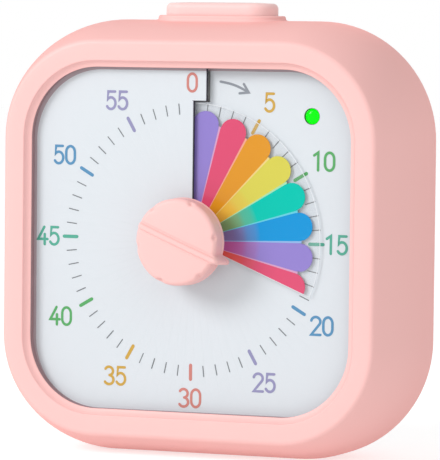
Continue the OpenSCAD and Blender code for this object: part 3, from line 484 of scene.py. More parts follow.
def clear_film():
    """Lets light through, with a gloss that grows towards the edge of sight."""
    mat = bpy.data.materials.new("petal_film")
    mat.use_nodes = True
    tree = mat.node_tree
    link = tree.links.new
    gloss = tree.nodes["Principled BSDF"]
    gloss.inputs["Base Color"].default_value = (1, 1, 1, 1)
    gloss.inputs["Metallic"].default_value = 1
    gloss.inputs["Roughness"].default_value = MIRROR_ROUGH
    through = tree.nodes.new("ShaderNodeBsdfTransparent")
    through.inputs["Color"].default_value = CLEAR
    slant = tree.nodes.new("ShaderNodeLayerWeight")
    steep = tree.nodes.new("ShaderNodeMath")
    steep.operation = "POWER"
    steep.inputs[1].default_value = MIRROR_POWER
    share = tree.nodes.new("ShaderNodeMath")
    share.operation = "MULTIPLY_ADD"
    share.inputs[1].default_value = MIRROR_GAIN
    share.inputs[2].default_value = MIRROR_LEAST
    both = tree.nodes.new("ShaderNodeMixShader")
    where = tree.nodes.new("ShaderNodeTexCoord")
    waves = tree.nodes.new("ShaderNodeTexNoise")
    waves.inputs["Scale"].default_value = WAVE_SCALE
    relief = tree.nodes.new("ShaderNodeBump")
    relief.inputs["Strength"].default_value = WAVE_STRENGTH
    relief.inputs["Distance"].default_value = WAVE_H
    link(where.outputs["Object"], waves.inputs["Vector"])
    link(waves.outputs["Fac"], relief.inputs["Height"])
    link(relief.outputs["Normal"], gloss.inputs["Normal"])
    link(slant.outputs["Facing"], steep.inputs[0])
    link(steep.outputs["Value"], share.inputs[0])
    link(share.outputs["Value"], both.inputs["Fac"])
    link(through.outputs["BSDF"], both.inputs[1])
    link(gloss.outputs["BSDF"], both.inputs[2])
    link(both.outputs["Shader"], tree.nodes["Material Output"].inputs["Surface"])
    return mat


wear(clear_film(), "petal_film")
print("the film mirrors at least", MIRROR_LEAST, "of the light")

# %% [markdown]
# Twenty-four petals in six colours are printed on the film in glossy ink. Near the stem, those that
# stand furthest out of the slit take on a second colour that fades outward: a painted reflection of the
# pink knob in the glossy film, darkened by painted shade. It depends only on how far a point lies from
# the dial's middle, so it is worked out in the material, and no mesh has to be cut for it. The deep teal
# and blue inks have less gloss, or the white that they mirror would wash them out.

# %% Petal colours
# Each colour: the petal's ink, and the painted reflection of the pink knob, with painted shade, near the
# stem.
PETALS = {"purple": ("8E7DC8", "B85C9E"), "pink": ("D74B70", "E05A52"), "orange": ("D99220", "E5842C"),
          "yellow": ("D1CA4F", "E3B040"), "teal": ("00C0AD", "7FA06C"), "blue": ("0991D2", "7F70A4")}
KNOB_REFLECTION_FADE = ((0.45, 1.0), (0.56, 0.8), (0.62, 0.42), (0.70, 0.3), (0.76, 0.0))
KNOB_REFLECTION_REACH = 20
PLAIN_GLOSS, DEEP_GLOSS = 0.3, {"teal": 0.1, "blue": 0.2}


def petal_ink(kind, colour, code):
    """A glossy printed ink."""
    return finish(kind + colour, code, 0.12, grain=2.0, bump=0.01, uneven=0.02, patch=25,
                  Specular_IOR_Level=DEEP_GLOSS.get(colour, PLAIN_GLOSS), Coat_Weight=0.1,
                  Coat_Roughness=0.05)


def paint_knob_reflection_near_stem(mat, code):
    """Mixes a painted reflection of the knob, darkened by painted shade, into a finish near the dial's
    middle, fading outward.
    """
    tree = mat.node_tree
    link = tree.links.new
    shader = tree.nodes["Principled BSDF"]
    plain = shader.inputs["Base Color"].links[0].from_socket
    where = tree.nodes.new("ShaderNodeTexCoord")
    offset = tree.nodes.new("ShaderNodeVectorMath")
    offset.operation = "SUBTRACT"
    offset.inputs[1].default_value = place(0, 0, 0)
    flat = tree.nodes.new("ShaderNodeVectorMath")
    flat.operation = "MULTIPLY"
    flat.inputs[1].default_value = (PER_METRE / KNOB_REFLECTION_REACH, 0, PER_METRE / KNOB_REFLECTION_REACH)
    reach = tree.nodes.new("ShaderNodeVectorMath")
    reach.operation = "LENGTH"
    fade = tree.nodes.new("ShaderNodeValToRGB")
    stops = fade.color_ramp.elements
    while len(stops) < len(KNOB_REFLECTION_FADE):
        stops.new(0.5)
    for stop, (at, share) in zip(stops, KNOB_REFLECTION_FADE):
        stop.position, stop.color = at, (share, share, share, 1)
    mixed = tree.nodes.new("ShaderNodeMixRGB")
    mixed.inputs["Color2"].default_value = paint(code)
    link(where.outputs["Object"], offset.inputs[0])
    link(offset.outputs["Vector"], flat.inputs[0])
    link(flat.outputs["Vector"], reach.inputs[0])
    link(reach.outputs["Value"], fade.inputs["Fac"])
    link(fade.outputs["Color"], mixed.inputs["Fac"])
    link(plain, mixed.inputs["Color1"])
    link(mixed.outputs["Color"], shader.inputs["Base Color"])


print("petal colours:", len(PETALS))

# %% [markdown]
# A petal is a wedge with a round tip, and a film that bends into a screw bends the petal too. So each
# petal is a fan of columns from near the stem to its tip, every point set on the film's own height. Its
# edge is left a little inside its share of the turn, where the pale line between two petals runs. The
# film's free end stands as far round from the slit as the knob can be turned back.

# %% Petal shape
FILM_END, FILM_TOP = 112.5, 0.625
PETAL_NEAR, PETAL_MIDDLE, PETAL_HALF, EDGE_IN = 5.2, 23.75, 7.5, 0.48
EDGE = PETAL_HALF - EDGE_IN
FAN_STEPS, FAN_COLUMNS = 24, 10
PETAL_OVER, PETAL_UNDER = 0.02, -0.01


def petal_outline(from_turn, to_turn):
    """Radii against angle for the part of a petal between two angles from its middle line."""
    tip_r = PETAL_MIDDLE * math.sin(math.radians(EDGE))
    rows = []
    for k in range(FAN_STEPS + 1):
        off = from_turn + (to_turn - from_turn) * k / FAN_STEPS
        side = PETAL_MIDDLE * math.sin(math.radians(abs(off)))
        far = PETAL_MIDDLE * math.cos(math.radians(off)) + math.sqrt(max(0, tip_r ** 2 - side ** 2))
        rows.append((off, far))
    return rows


def film_rise(turn):
    """How far out the film's upper face lies."""
    return dial_top(turn) + FILM_TOP


def petal(middle_turn, from_turn, to_turn):
    """Points and faces of one petal: columns from near the stem to its rounded tip."""
    points, faces = [], []
    columns = FAN_COLUMNS
    rows = petal_outline(from_turn, to_turn)
    for off, far in rows:
        a = math.radians(middle_turn + off)
        for k in range(columns + 1):
            r = PETAL_NEAR + (far - PETAL_NEAR) * k / columns
            for rise in (PETAL_OVER, PETAL_UNDER):
                points.append(place(r * math.sin(a), r * math.cos(a), film_rise(middle_turn + off) + rise))
    wide = 2 * (columns + 1)
    for i in range(len(rows) - 1):
        for k in range(columns):
            a, b = i * wide + 2 * k, (i + 1) * wide + 2 * k
            faces += [(a, a + 2, b + 2, b), (a + 1, b + 1, b + 3, a + 3)]
        for k in (0, columns):
            a, b = i * wide + 2 * k, (i + 1) * wide + 2 * k
            faces.append((a, b, b + 1, a + 1) if k == 0 else (a, a + 1, b + 1, b))
    for i in (0, len(rows) - 1):
        for k in range(columns):
            a = i * wide + 2 * k
            faces.append((a, a + 1, a + 3, a + 2) if i == 0 else (a, a + 2, a + 3, a + 1))
    return points, faces


print("a petal's length in millimetres:", round(petal_outline(0, 0)[0][1] - PETAL_NEAR, 2))

# %% [markdown]
# The petals follow each other round the film, one colour after another, and the one that the film's
# two ends cut through is cut there. All petals of one colour are one piece with two materials: past the
# third petal out of the slit they have the ink with the painted knob reflection and shade, and the
# others the plain one.

# %% Petals
FIRST_PETAL = 6.6
PETAL_PLACES = range(-17, 8)
FIRST_REFLECTING_PETAL = 3
END_GAP = 0.2

for c, (colour, (code, knob_reflection_code)) in enumerate(PETALS.items()):
    mat, knob_reflection_ink = petal_ink("petal_", colour, code), petal_ink("knob_reflection_", colour, code)
    paint_knob_reflection_near_stem(knob_reflection_ink, knob_reflection_code)
    points, faces, plain = [], [], 0
    for k in PETAL_PLACES:
        if k % len(PETALS) != c:
            continue
        middle_turn = FIRST_PETAL + 2 * PETAL_HALF * k
        low = max(-EDGE, FILM_END - 360 + END_GAP - middle_turn)
        high = min(EDGE, FILM_END - END_GAP - middle_turn)
        more, their = petal(middle_turn, low, high)
        faces += [tuple(v + len(points) for v in face) for face in their]
        points += more
        if k < FIRST_REFLECTING_PETAL:
            plain = len(faces)
    piece = solid("petals_" + colour, points, faces, mat, "film_set")
    piece.data.materials.append(knob_reflection_ink)
    for face in piece.data.polygons:
        face.material_index = int(face.index >= plain)
print("petals, with those cut at the ends:", len(PETAL_PLACES))

# %% [markdown]
# Where two petals meet, a fine line shows that is paler than both. It takes the even mix of its two
# neighbours with some white in it, and is a thin wedge that fills the gap between their edges.

# %% Lines between petals
LINE_NEAR, LINE_FAR, LINE_LAP, PALE = 7.0, 24.1, 0.06, 0.34
LINE_HALF = PETAL_HALF - EDGE + LINE_LAP
LINE_OVER, LINE_UNDER = 0.015, -0.01
WEDGE_FACES = ((0, 2, 6, 4), (1, 5, 7, 3), (0, 4, 5, 1), (2, 3, 7, 6), (0, 1, 3, 2), (4, 6, 7, 5))


def blend(one, two, white):
    """The code of two colours mixed evenly, then mixed with white."""
    pairs = [(int(one[i:i + 2], 16), int(two[i:i + 2], 16)) for i in (0, 2, 4)]
    return "".join("%02X" % round((a + b) / 2 * (1 - white) + 255 * white) for a, b in pairs)


names = list(PETALS)
for c, colour in enumerate(names):
    code = blend(PETALS[names[c - 1]][0], PETALS[colour][0], PALE)
    mat = finish("line_" + colour, code, 0.3, grain=0.5, bump=0.01, uneven=0.02, patch=5)
    points, faces = [], []
    for k in PETAL_PLACES[1:]:
        if k % len(PETALS) != c:
            continue
        first = len(points)
        between = FIRST_PETAL + PETAL_HALF * (2 * k - 1)
        for turn in (between - LINE_HALF, between + LINE_HALF):
            for r in (LINE_NEAR, LINE_FAR):
                a = math.radians(turn)
                for rise in (LINE_OVER, LINE_UNDER):
                    points.append(place(r * math.sin(a), r * math.cos(a), film_rise(turn) + rise))
        faces += [tuple(first + v for v in face) for face in WEDGE_FACES]
    solid("petal_line_" + colour, points, faces, mat, "film_set")
print("lines between petals:", len(PETAL_PLACES) - 1)

# %% [markdown]
# A clear sheet's cut edges catch the light, so they show as fine pale lines where the sheet itself
# can't be seen. Here that light is a painted highlight: pale strips, one out along the film's free end,
# and one round its rim for nearly a turn.

# %% The film's edges
FREE_NEAR, FREE_FAR, FREE_W = 7, 28.1, 0.1
RIM_R, RIM_W, RIM_STEPS = 28.05, 0.12, 240
RIM_START, RIM_SPAN = FILM_END - 0.5, 359

# A pale finish for the painted highlights on the film's cut edges.
film_edge_highlight = finish("painted_film_edge_highlight", "E4E8EC", 0.3, grain=0.5, bump=0.01, uneven=0.03, patch=5)
free_end = radial(FILM_END - 0.1, FREE_NEAR, FREE_FAR)
points, faces = ink([(free_end, FREE_W, False)], height=film_rise, turn_of=lambda x, up: FILM_END)
solid("film_edge", points, faces, film_edge_highlight, "film_set")


def film_turn(x, up):
    """Degrees clockwise from twelve along the film, which ends at FILM_END."""
    turn = math.degrees(math.atan2(x, up))
    return turn - 360 if turn > FILM_END else turn


rim_turns = [math.radians(RIM_START - RIM_SPAN * k / RIM_STEPS) for k in range(RIM_STEPS + 1)]
rim = [(RIM_R * math.sin(a), RIM_R * math.cos(a)) for a in rim_turns]
points, faces = ink([(rim, RIM_W, False)], height=film_rise, turn_of=film_turn)
solid("film_rim", points, faces, film_edge_highlight, "film_set")
print("points round the film's rim:", len(rim))

# %% [markdown]
# ## Knob
# The knob is one soft moulding: a turned disc with a rounded edge and a slightly domed face, a ridge
# across the face that runs out into a pointer, a shallow hollow on both sides of the ridge, and six small
# dents round the edge. Joining separate shapes would leave hard creases where they meet. So the knob is
# turned from one section as rings of points, and each point is then pushed in, out or along, and every
# form flows into the next one, as it does in a mould.
#
# The section starts at the blind end of the bore, goes back along it, round the stem and the neck, over
# the back and the grip with its fine groove, and ends at the middle of the domed face.

# %% Knob sizes
KNOB_R, KNOB_BACK, KNOB_FRONT = 8.95, 18.2, 23.2
BORE_R, BORE_END, STEM_R, STEM_END, NECK_R, NECK_END = 1.52, 22.2, 2.5, 11.7, 5, 15.9
BACK_RINGS, BACK_SOFT, BACK_EASE = (6, 7, 7.8), 0.35, 0.08
GROOVE_LOW, GROOVE_AT, GROOVE_HIGH, GROOVE_HALF, GROOVE_IN = 18.8, 19.1, 19.25, 0.02, 0.12
LEAD_UP, LEAD_IN, GRIP_RINGS = 0.2, 0.04, 8
ROUND_END, ROUND_STEPS = 86, 14
KNOB_ROUND, DOME_TOP, DOME_FALL, FACE_GATHER = 1.0, 0.05, 0.32, 1.5
GRIP_R = KNOB_R - 0.1
FACE_R = GRIP_R - KNOB_ROUND
FACE_EDGE = KNOB_FRONT + DOME_TOP - DOME_FALL
FACE_RINGS = 46


def soft_step(value):
    """0 below 0, 1 above 1 and a smooth rise between."""
    value = min(1, max(0, value))
    return value * value * (3 - 2 * value)


knob_section = [(0, BORE_END), (BORE_R, BORE_END), (BORE_R, STEM_END), (STEM_R, STEM_END),
                (STEM_R, NECK_END), (NECK_R, NECK_END), (NECK_R, KNOB_BACK)]
knob_section += [(r, KNOB_BACK) for r in BACK_RINGS] + [(KNOB_R - BACK_SOFT, KNOB_BACK)]
knob_section += [(KNOB_R - BACK_EASE, KNOB_BACK + BACK_EASE), (KNOB_R, KNOB_BACK + BACK_SOFT)]
knob_section += [(KNOB_R, GROOVE_LOW), (KNOB_R - LEAD_IN, GROOVE_LOW + LEAD_UP),
                 (GRIP_R - GROOVE_IN, GROOVE_AT - GROOVE_HALF),
                 (GRIP_R - GROOVE_IN, GROOVE_AT + GROOVE_HALF), (GRIP_R, GROOVE_HIGH)]
grip_h = FACE_EDGE - KNOB_ROUND - GROOVE_HIGH
knob_section += [(GRIP_R, GROOVE_HIGH + grip_h * k / GRIP_RINGS) for k in range(1, GRIP_RINGS)]
knob_section += sweep((FACE_R, FACE_EDGE - KNOB_ROUND), (KNOB_ROUND, KNOB_ROUND), 0,
                      ROUND_END, ROUND_STEPS)
for k in range(1, FACE_RINGS + 1):
    r = FACE_R * (1 - k / FACE_RINGS) ** FACE_GATHER
    knob_section.append((r, KNOB_FRONT + DOME_TOP - DOME_FALL * (r / FACE_R) ** 2))
print("points in the knob's section:", len(knob_section))

# %% [markdown]
# Points are only as close as the forms need: the ridge is under a millimetre wide where it crosses the
# edge, so the rings have two or three times as many points there. Two soft steps side by side make
# the ridge, a bell curve beside each makes the hollow, and bells about six places make the dents. The
# pointer stands over the film's free end.

# %% Knob forms
KNOB_TURN = FILM_END
RIDGE_H, RIDGE_HALF, RIDGE_SOFT, HOLLOW_H, HOLLOW_W, HOLLOW_OFF = 0.4, 0.34, 0.36, 0.14, 0.22, 0.1
RIDGE_FROM, RIDGE_FADE = 20.5, 1.8
DENTS, DENT_H, DENT_W, DENT_R, DENT_AT, DENT_IN, DENT_DOWN = 6, 0.6, 0.6, 8.7, 22.65, 0.6, 0.8
POINTER_L, POINTER_HALF, POINTER_IN, POINTER_POWER = 1.9, 0.98, 4.8, 2.6
POINTER_FROM, LEAN_L, LEAN_FROM, LEAN_H = 17, 0.75, 18.8, 4.2
FINE_SPAN, FINE_STEP, FAR_STEP, PLAIN_STEP = 12, 0.5, 0.75, 1.5


def knob_angles():
    """Angles from the pointer, close together where the ridge crosses the edge."""
    angles, a = [], 0.0
    while a < 360:
        angles.append(a)
        near_end = min(a, 360 - a)
        a += FINE_STEP if near_end < FINE_SPAN else FAR_STEP if abs(a - 180) < FINE_SPAN else PLAIN_STEP
    return angles


def knob_point(r, h, angle):
    """One point of the knob as metres, with the ridge, hollows, dents and pointer worked in."""
    along, across = r * math.cos(math.radians(angle)), r * math.sin(math.radians(angle))
    off = abs(across)
    front = soft_step((h - RIDGE_FROM) / RIDGE_FADE)
    rise = RIDGE_H * soft_step((RIDGE_HALF + RIDGE_SOFT - off) / RIDGE_SOFT)
    rise -= HOLLOW_H * math.exp(-((off - RIDGE_HALF - RIDGE_SOFT - HOLLOW_OFF) / HOLLOW_W) ** 2)
    dent = 0
    for k in range(DENTS):
        a = math.radians((k + 0.5) * 360 / DENTS)
        gap = Vector((along - DENT_R * math.cos(a), across - DENT_R * math.sin(a), (h - DENT_AT)))
        dent += DENT_H * math.exp(-(gap.length / DENT_W) ** 2)
    along -= dent * DENT_IN * along / KNOB_R
    across -= dent * DENT_IN * across / KNOB_R
    if along > 0 and h > POINTER_FROM:
        lean = POINTER_L - LEAN_L * soft_step((h - LEAN_FROM) / LEAN_H)
        nose = max(0, 1 - (off / POINTER_HALF) ** POINTER_POWER)
        along += lean * nose * soft_step((r - POINTER_IN) / (FACE_R - POINTER_IN))
    h += front * rise - DENT_DOWN * dent
    turn = math.radians(KNOB_TURN)
    return place(along * math.sin(turn) + across * math.cos(turn),
                 along * math.cos(turn) - across * math.sin(turn), h)


angles = knob_angles()
print("points round the knob:", len(angles))

# %% [markdown]
# The rings are joined to each other with four-sided faces, and each end closes in a fan. A soft
# moulding shades smoothly, except where its faces meet at more than 55 degrees, as at the bore.

# %% Knob
SHARP_KNOB = 55

rings, count = len(knob_section) - 2, len(angles)
points = [knob_point(r, h, a) for r, h in knob_section[1:-1] for a in angles]
points += [knob_point(*knob_section[0], 0), knob_point(*knob_section[-1], 0)]
faces = []
for k in range(rings - 1):
    for i in range(count):
        j = (i + 1) % count
        faces.append((k * count + i, k * count + j, (k + 1) * count + j, (k + 1) * count + i))
last = (rings - 1) * count
faces += [(rings * count, (i + 1) % count, i) for i in range(count)]
faces += [(rings * count + 1, last + i, last + (i + 1) % count) for i in range(count)]
knob = solid("knob_moulding", points, faces, pink_plastic, "knob_set", smooth=True)
knob.data.set_sharp_from_angle(angle=math.radians(SHARP_KNOB))
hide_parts("knob")
print("faces in the knob:", len(knob.data.polygons))

# %% [markdown]
# ## Sleeve
# The soft sleeve is the same section all the way round a square with rounded corners: a bowed side, a
# large round at the back, a flat front rim and a soft inner edge. A box with bevelled edges would come
# close, but its bow and its inner lip would have to be pulled into shape by hand. Here the section is
# drawn once from arcs, and every corner gets it exactly. `u` is the distance out from the middle of a
# corner, and `h` the height out of the model's middle plane.

# %% Sleeve sizes and section
CORNER_C, CORNER_R, FRONT_H = 20.5, 24.5, 17.5
SIDE_RISE, BACK_R, EDGE_R, SLEEVE_T = 4.4, 12.0, 1.3, 2.0
LIP_U, LIP_H, RIM_U = 14.7, 16.0, 10.5
INNER_EDGE_R, BACK_EDGE_R, LIP_FOOT_R, LIP_TOP_R, LIP_TOP_OUT = 0.6, 0.6, 0.2, 0.25, 1.5
LIP_SLOPE_R, LIP_SLOPE_OUT, LIP_SLOPE_UP = 1.97, -0.47, 2.26
EDGE_STEPS, BACK_STEPS, OUTSIDE_STEPS, INSIDE_STEPS = 8, 24, 24, 8
SIDE_R = (FRONT_H ** 2 + SIDE_RISE ** 2) / (2 * SIDE_RISE)
SIDE_U = CORNER_R - SIDE_R


def side_u(h, t=0.0):
    """How far out the bowed side is at a height, with the wall's thickness taken off."""
    return SIDE_U + math.sqrt((SIDE_R - t) ** 2 - h * h)


def side_section(t, top, edge, steps):
    """The side's section from its rounded front edge to the middle of the back edge."""
    middle = (SIDE_U + math.sqrt((SIDE_R - t - edge) ** 2 - (top - edge) ** 2), top - edge)
    lean = math.degrees(math.atan2(top - edge, middle[0] - SIDE_U))
    curve = sweep(middle, (edge, edge), 90, lean, EDGE_STEPS)
    low = curve[-1][1]
    curve += [(side_u(low * (1 - k / steps), t), low * (1 - k / steps)) for k in range(1, steps + 1)]
    back_arc = sweep((CORNER_R - BACK_R, BACK_R - FRONT_H), (BACK_R - t, BACK_R - t), 0, -90, BACK_STEPS)
    return curve + back_arc


outside = side_section(0, FRONT_H, EDGE_R, OUTSIDE_STEPS)
inside = side_section(SLEEVE_T, LIP_H, INNER_EDGE_R, INSIDE_STEPS)
back_rim = sweep((RIM_U + BACK_EDGE_R, BACK_EDGE_R - FRONT_H), (BACK_EDGE_R, BACK_EDGE_R), -90, -180, 5)
back_rim.append((RIM_U, SLEEVE_T - FRONT_H))
lip = sweep((LIP_U + LIP_FOOT_R, LIP_H + LIP_FOOT_R), (LIP_FOOT_R, LIP_FOOT_R), 270, 115, 7)
lip += sweep((LIP_U + LIP_SLOPE_OUT, LIP_H + LIP_SLOPE_UP), (LIP_SLOPE_R, LIP_SLOPE_R), -72, -28.5, 7)
lip += sweep((LIP_U + LIP_TOP_OUT, FRONT_H - LIP_TOP_R), (LIP_TOP_R, LIP_TOP_R), 150, 90, 5)
sleeve_section = outside + back_rim + inside[::-1] + lip
print("points in the sleeve's section:", len(sleeve_section))

# %% [markdown]
# The section goes round the body in one closed ring. `square_stations` lists the places where it
# stands: along each side it moves, and round each corner it turns.

# %% Ring maker
def ring_mesh(name, loops):
    """A closed ring from loops with as many points each, joined one to the next and last to first."""
    count = len(loops[0])
    faces = []
    for k in range(len(loops)):
        a, b = k * count, (k + 1) % len(loops) * count
        faces += [(a + i, a + (i + 1) % count, b + (i + 1) % count, b + i) for i in range(count)]
    mesh = bpy.data.meshes.new(name)
    mesh.from_pydata([p for loop in loops for p in loop], [], faces)
    mesh.update()
    return mesh


def square_stations(turns=24, along=10):
    """Places round the rounded square: a corner's middle or a point between two, and a direction."""
    stations = []
    corners = [(CORNER_C, CORNER_C), (-CORNER_C, CORNER_C), (-CORNER_C, -CORNER_C), (CORNER_C, -CORNER_C)]
    for k, here in enumerate(corners):
        after = corners[(k + 1) % 4]
        for j in range(turns + 1):
            stations.append((*here, math.radians(90 * k + 90 * j / turns)))
        for j in range(1, along):
            part = j / along
            stations.append((here[0] + (after[0] - here[0]) * part, here[1] + (after[1] - here[1]) * part,
                             math.radians(90 * k + 90)))
    return stations


print("sections round the sleeve:", len(square_stations()))

# %% [markdown]
# The top button comes up through a hole with a raised collar. The collar, and the plug that cuts the
# hole, are rings with two half-round ends that stand up through the top. Booleans suit this one place
# well: the collar crosses the bowed side, where an exact join finds the curve between them by itself.

# %% Collar maker
BUTTON_BACK, BUTTON_HALF = 1.0, 7.5


def upright_ring(name, section, turns=24):
    """A ring with half-round ends, standing up. A section point is (radius, height, on the top or not)."""
    loops = []
    for side in (1, -1):
        for j in range(turns + 1):
            a = math.radians(side * 90 - 180 + 180 * j / turns)
            loop = []
            for r, z, on_top in section:
                y = BUTTON_BACK + r * math.sin(a)
                level = DIAL_UP + CORNER_C + side_u(max(0, -y)) if on_top else 0
                x = side * BUTTON_HALF + r * math.cos(a)
                loop.append((x / PER_METRE, y / PER_METRE, (level + z) / PER_METRE))
            loops.append(loop)
    return ring_mesh(name, loops)


def cut_or_join(body, other, action):
    """Joins another closed mesh to a body, or cuts it away, and keeps only the result."""
    part = bpy.data.objects.new(other.name, other)
    bpy.context.collection.objects.link(part)
    step = body.modifiers.new(action, "BOOLEAN")
    step.operation, step.object, step.solver = action, part, "EXACT"
    made = bpy.data.meshes.new_from_object(body.evaluated_get(bpy.context.evaluated_depsgraph_get()))
    body.modifiers.clear()
    body.data = made
    bpy.data.objects.remove(part)


print("the collar's half length in millimetres:", BUTTON_HALF)

# %% [markdown]
# The ring is made first. Then the collar is joined on, the hole is cut through it, and a block cuts the
# underside flat, so that the timer stands. The result takes the place of the plain solid. Heights of
# the collar's foot are measured from the bowed side, and those of its crown from the base.

# %% Sleeve
HOLE_R, COLLAR_R, COLLAR_TOP, CROWN_R, CROWN_FOOT = 5.0, 6.25, 90.6, 0.5, 0.55
HOLE_EASE, HOLE_SOFT, COLLAR_SINK, SINK_R = 0.15, 0.04, -1.2, 6.5
FLARE = ((6.95, -0.25), (6.95, 0), (6.62, 0.04), (6.4, 0.14), (6.28, 0.32))
PLUG_R, PLUG_IN, PLUG_LOW, PLUG_HIGH = HOLE_R - 0.002, 0.3, 80, 95
BLOCK_X, BLOCK_Y, BLOCK_DEEP = 0.06, 0.05, 0.02
SHARP_SLEEVE = 38

loops = [[place(x + u * math.cos(a), up + u * math.sin(a), h) for u, h in sleeve_section]
         for x, up, a in square_stations()]
sleeve = bpy.data.objects.new("sleeve", ring_mesh("sleeve", loops))
bpy.context.collection.objects.link(sleeve)

flare = [(r, z, True) for r, z in FLARE]
crown_arc = sweep((COLLAR_R - CROWN_R, COLLAR_TOP - CROWN_R), (CROWN_R, CROWN_R), 10, 90, 7)
crown = [(COLLAR_R, COLLAR_TOP - CROWN_FOOT, False)] + [(r, z, False) for r, z in crown_arc]
crown += [(HOLE_R + HOLE_EASE, COLLAR_TOP, False), (HOLE_R + HOLE_SOFT, COLLAR_TOP - HOLE_SOFT, False),
          (HOLE_R, COLLAR_TOP - HOLE_EASE, False), (HOLE_R, COLLAR_SINK, True),
          (SINK_R, COLLAR_SINK, True)]
cut_or_join(sleeve, upright_ring("collar", flare + crown), "UNION")
plug = [(PLUG_IN, PLUG_LOW, False), (PLUG_R, PLUG_LOW, False), (PLUG_R, PLUG_HIGH, False),
        (PLUG_IN, PLUG_HIGH, False)]
cut_or_join(sleeve, upright_ring("plug", plug), "DIFFERENCE")
block = bpy.data.meshes.new("block")
corners = [(x, y, z) for z in (-BLOCK_DEEP, 0) for y in (-BLOCK_Y, BLOCK_Y) for x in (-BLOCK_X, BLOCK_X)]
block.from_pydata(corners, [], [(0, 2, 3, 1), (4, 5, 7, 6), (0, 1, 5, 4), (2, 6, 7, 3), (0, 4, 6, 2),
                                (1, 3, 7, 5)])
cut_or_join(sleeve, block, "DIFFERENCE")
sleeve.data.materials.clear()
sleeve.data.materials.append(silicone)
for face in sleeve.data.polygons:
    face.use_smooth, face.material_index = True, 0
sleeve.data.set_sharp_from_angle(angle=math.radians(SHARP_SLEEVE))
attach(sleeve, "casing")
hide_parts("silicone_sleeve")
print("faces in the sleeve:", len(sleeve.data.polygons))

# %% [markdown]
# ## Painted shade round the dial
# Between the sleeve's inner edge and the dial lies a narrow step in shade. A thin ring closes it, and its
# colours are painted shade: its foot lies on the dial and follows the dial's rise as a painted shadow,
# and its wall goes up under the lip in a darker painted shade. Towards the upper left the foot is wider,
# because the shade under the lip is deepest on the side that the light comes from. Two stations stand
# close together at the tab's edge, where the dial's height jumps by one pitch, so that the ring jumps
# with it.

# %% Painted shade round the dial
FOOT_WIDE, FOOT_WAY, JUMP_HALF = 0.75, math.radians(128), 0.02
FOOT_UNDER, FOOT_OVER, RING_IN, RING_WALL, RING_OUT, RING_STEP = -0.02, 0.04, 0.05, 0.1, 0.5, 0.2
WALL_FACE = 3

# The foot's mauve is painted shadow on the dial, and the wall's darker tone is painted shade.
rim_painted_shadow_finish = finish("painted_shade_rim", "A8979D", 0.6, grain=0.4, bump=0.08, uneven=0.05, patch=4)
rim_wall_painted_shade_finish = finish("rim_wall_painted_shade", "9A7C80", 0.7, grain=0.4, bump=0.08, uneven=0.05, patch=4)
stations = square_stations()
on_top = [k for k, (x, up, a) in enumerate(stations) if abs(math.degrees(a) - 90) < 0.1 and x < TAB_X][0]
stations[on_top:on_top] = [(TAB_X + side * JUMP_HALF, CORNER_C, math.radians(90)) for side in (1, -1)]
loops = []
for x, up, a in stations:
    loop = []
    foot = RING_IN - FOOT_WIDE * max(0, math.cos(a - FOOT_WAY))
    for out, rise in ((foot, FOOT_UNDER), (RING_OUT, FOOT_UNDER), (RING_OUT, None), (RING_WALL, None),
                      (RING_WALL, RING_STEP), (foot, FOOT_OVER)):
        u = LIP_U + out
        px, pup = x + u * math.cos(a), up + u * math.sin(a)
        loop.append(place(px, pup, LIP_H if rise is None else dial_top(turn_at(px, pup)) + rise))
    loops.append(loop)
painted_shade_rim = bpy.data.objects.new("painted_shade_rim", ring_mesh("painted_shade_rim", loops))
bpy.context.collection.objects.link(painted_shade_rim)
face_outward(painted_shade_rim.data)
painted_shade_rim.data.materials.append(rim_painted_shadow_finish)
painted_shade_rim.data.materials.append(rim_wall_painted_shade_finish)
for face in painted_shade_rim.data.polygons:
    face.material_index = int(face.index % len(loops[0]) == WALL_FACE)
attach(painted_shade_rim, "casing")
print("stations round the dial's rim:", len(stations))

# %% [markdown]
# ## Slit
# The slit is a step in the dial: its left side stands one pitch above its right side, and the film comes
# out in between. From in front it is a fine dark line beside the sheet's own pale edge. A dark strip of
# painted shade lines each stretch of the stepped edge, and along the longest one a pale lip stands
# before it. Shade alone would leave the line too faint, because the gap is open to the light from the
# right.

# %% Slit
STRIP_T, LIP_T, LOW_STRIP_T = 0.07, 0.25, 0.2
SLIT_NEAR, SLIT_FAR = 5.6, 35.1
LIP_DEEP, STEP_DEEP, HIGH_DEEP = 0.5, 0.78, 0.6
LIP_UNDER, LOW_UNDER, EDGE_UNDER = 0.01, 0.03, 0.005
# A near black finish: painted shade in the slit's gap.
slit_painted_shade = finish("slit_strip", "2E2B3A", 0.6, grain=0.3, bump=0.05, uneven=0.08, patch=4)


def slit_strip(name, path, low, high, mat=slit_painted_shade, thick=STRIP_T):
    """A thin wall along a path on the dial between two heights."""
    points, faces = [], []
    for k, (x, up, nx, nup) in enumerate(path):
        for out, h in ((0, low), (thick, low), (thick, high), (0, high)):
            points.append(place(x + nx * out, up + nup * out, h))
        if k:
            a, b = 4 * (k - 1), 4 * k
            faces += [(a + s, a + (s + 1) % 4, b + (s + 1) % 4, b + s) for s in range(4)]
    last = 4 * (len(path) - 1)
    faces += [(3, 2, 1, 0), (last, last + 1, last + 2, last + 3)]
    solid(name, points, faces, mat, "casing")


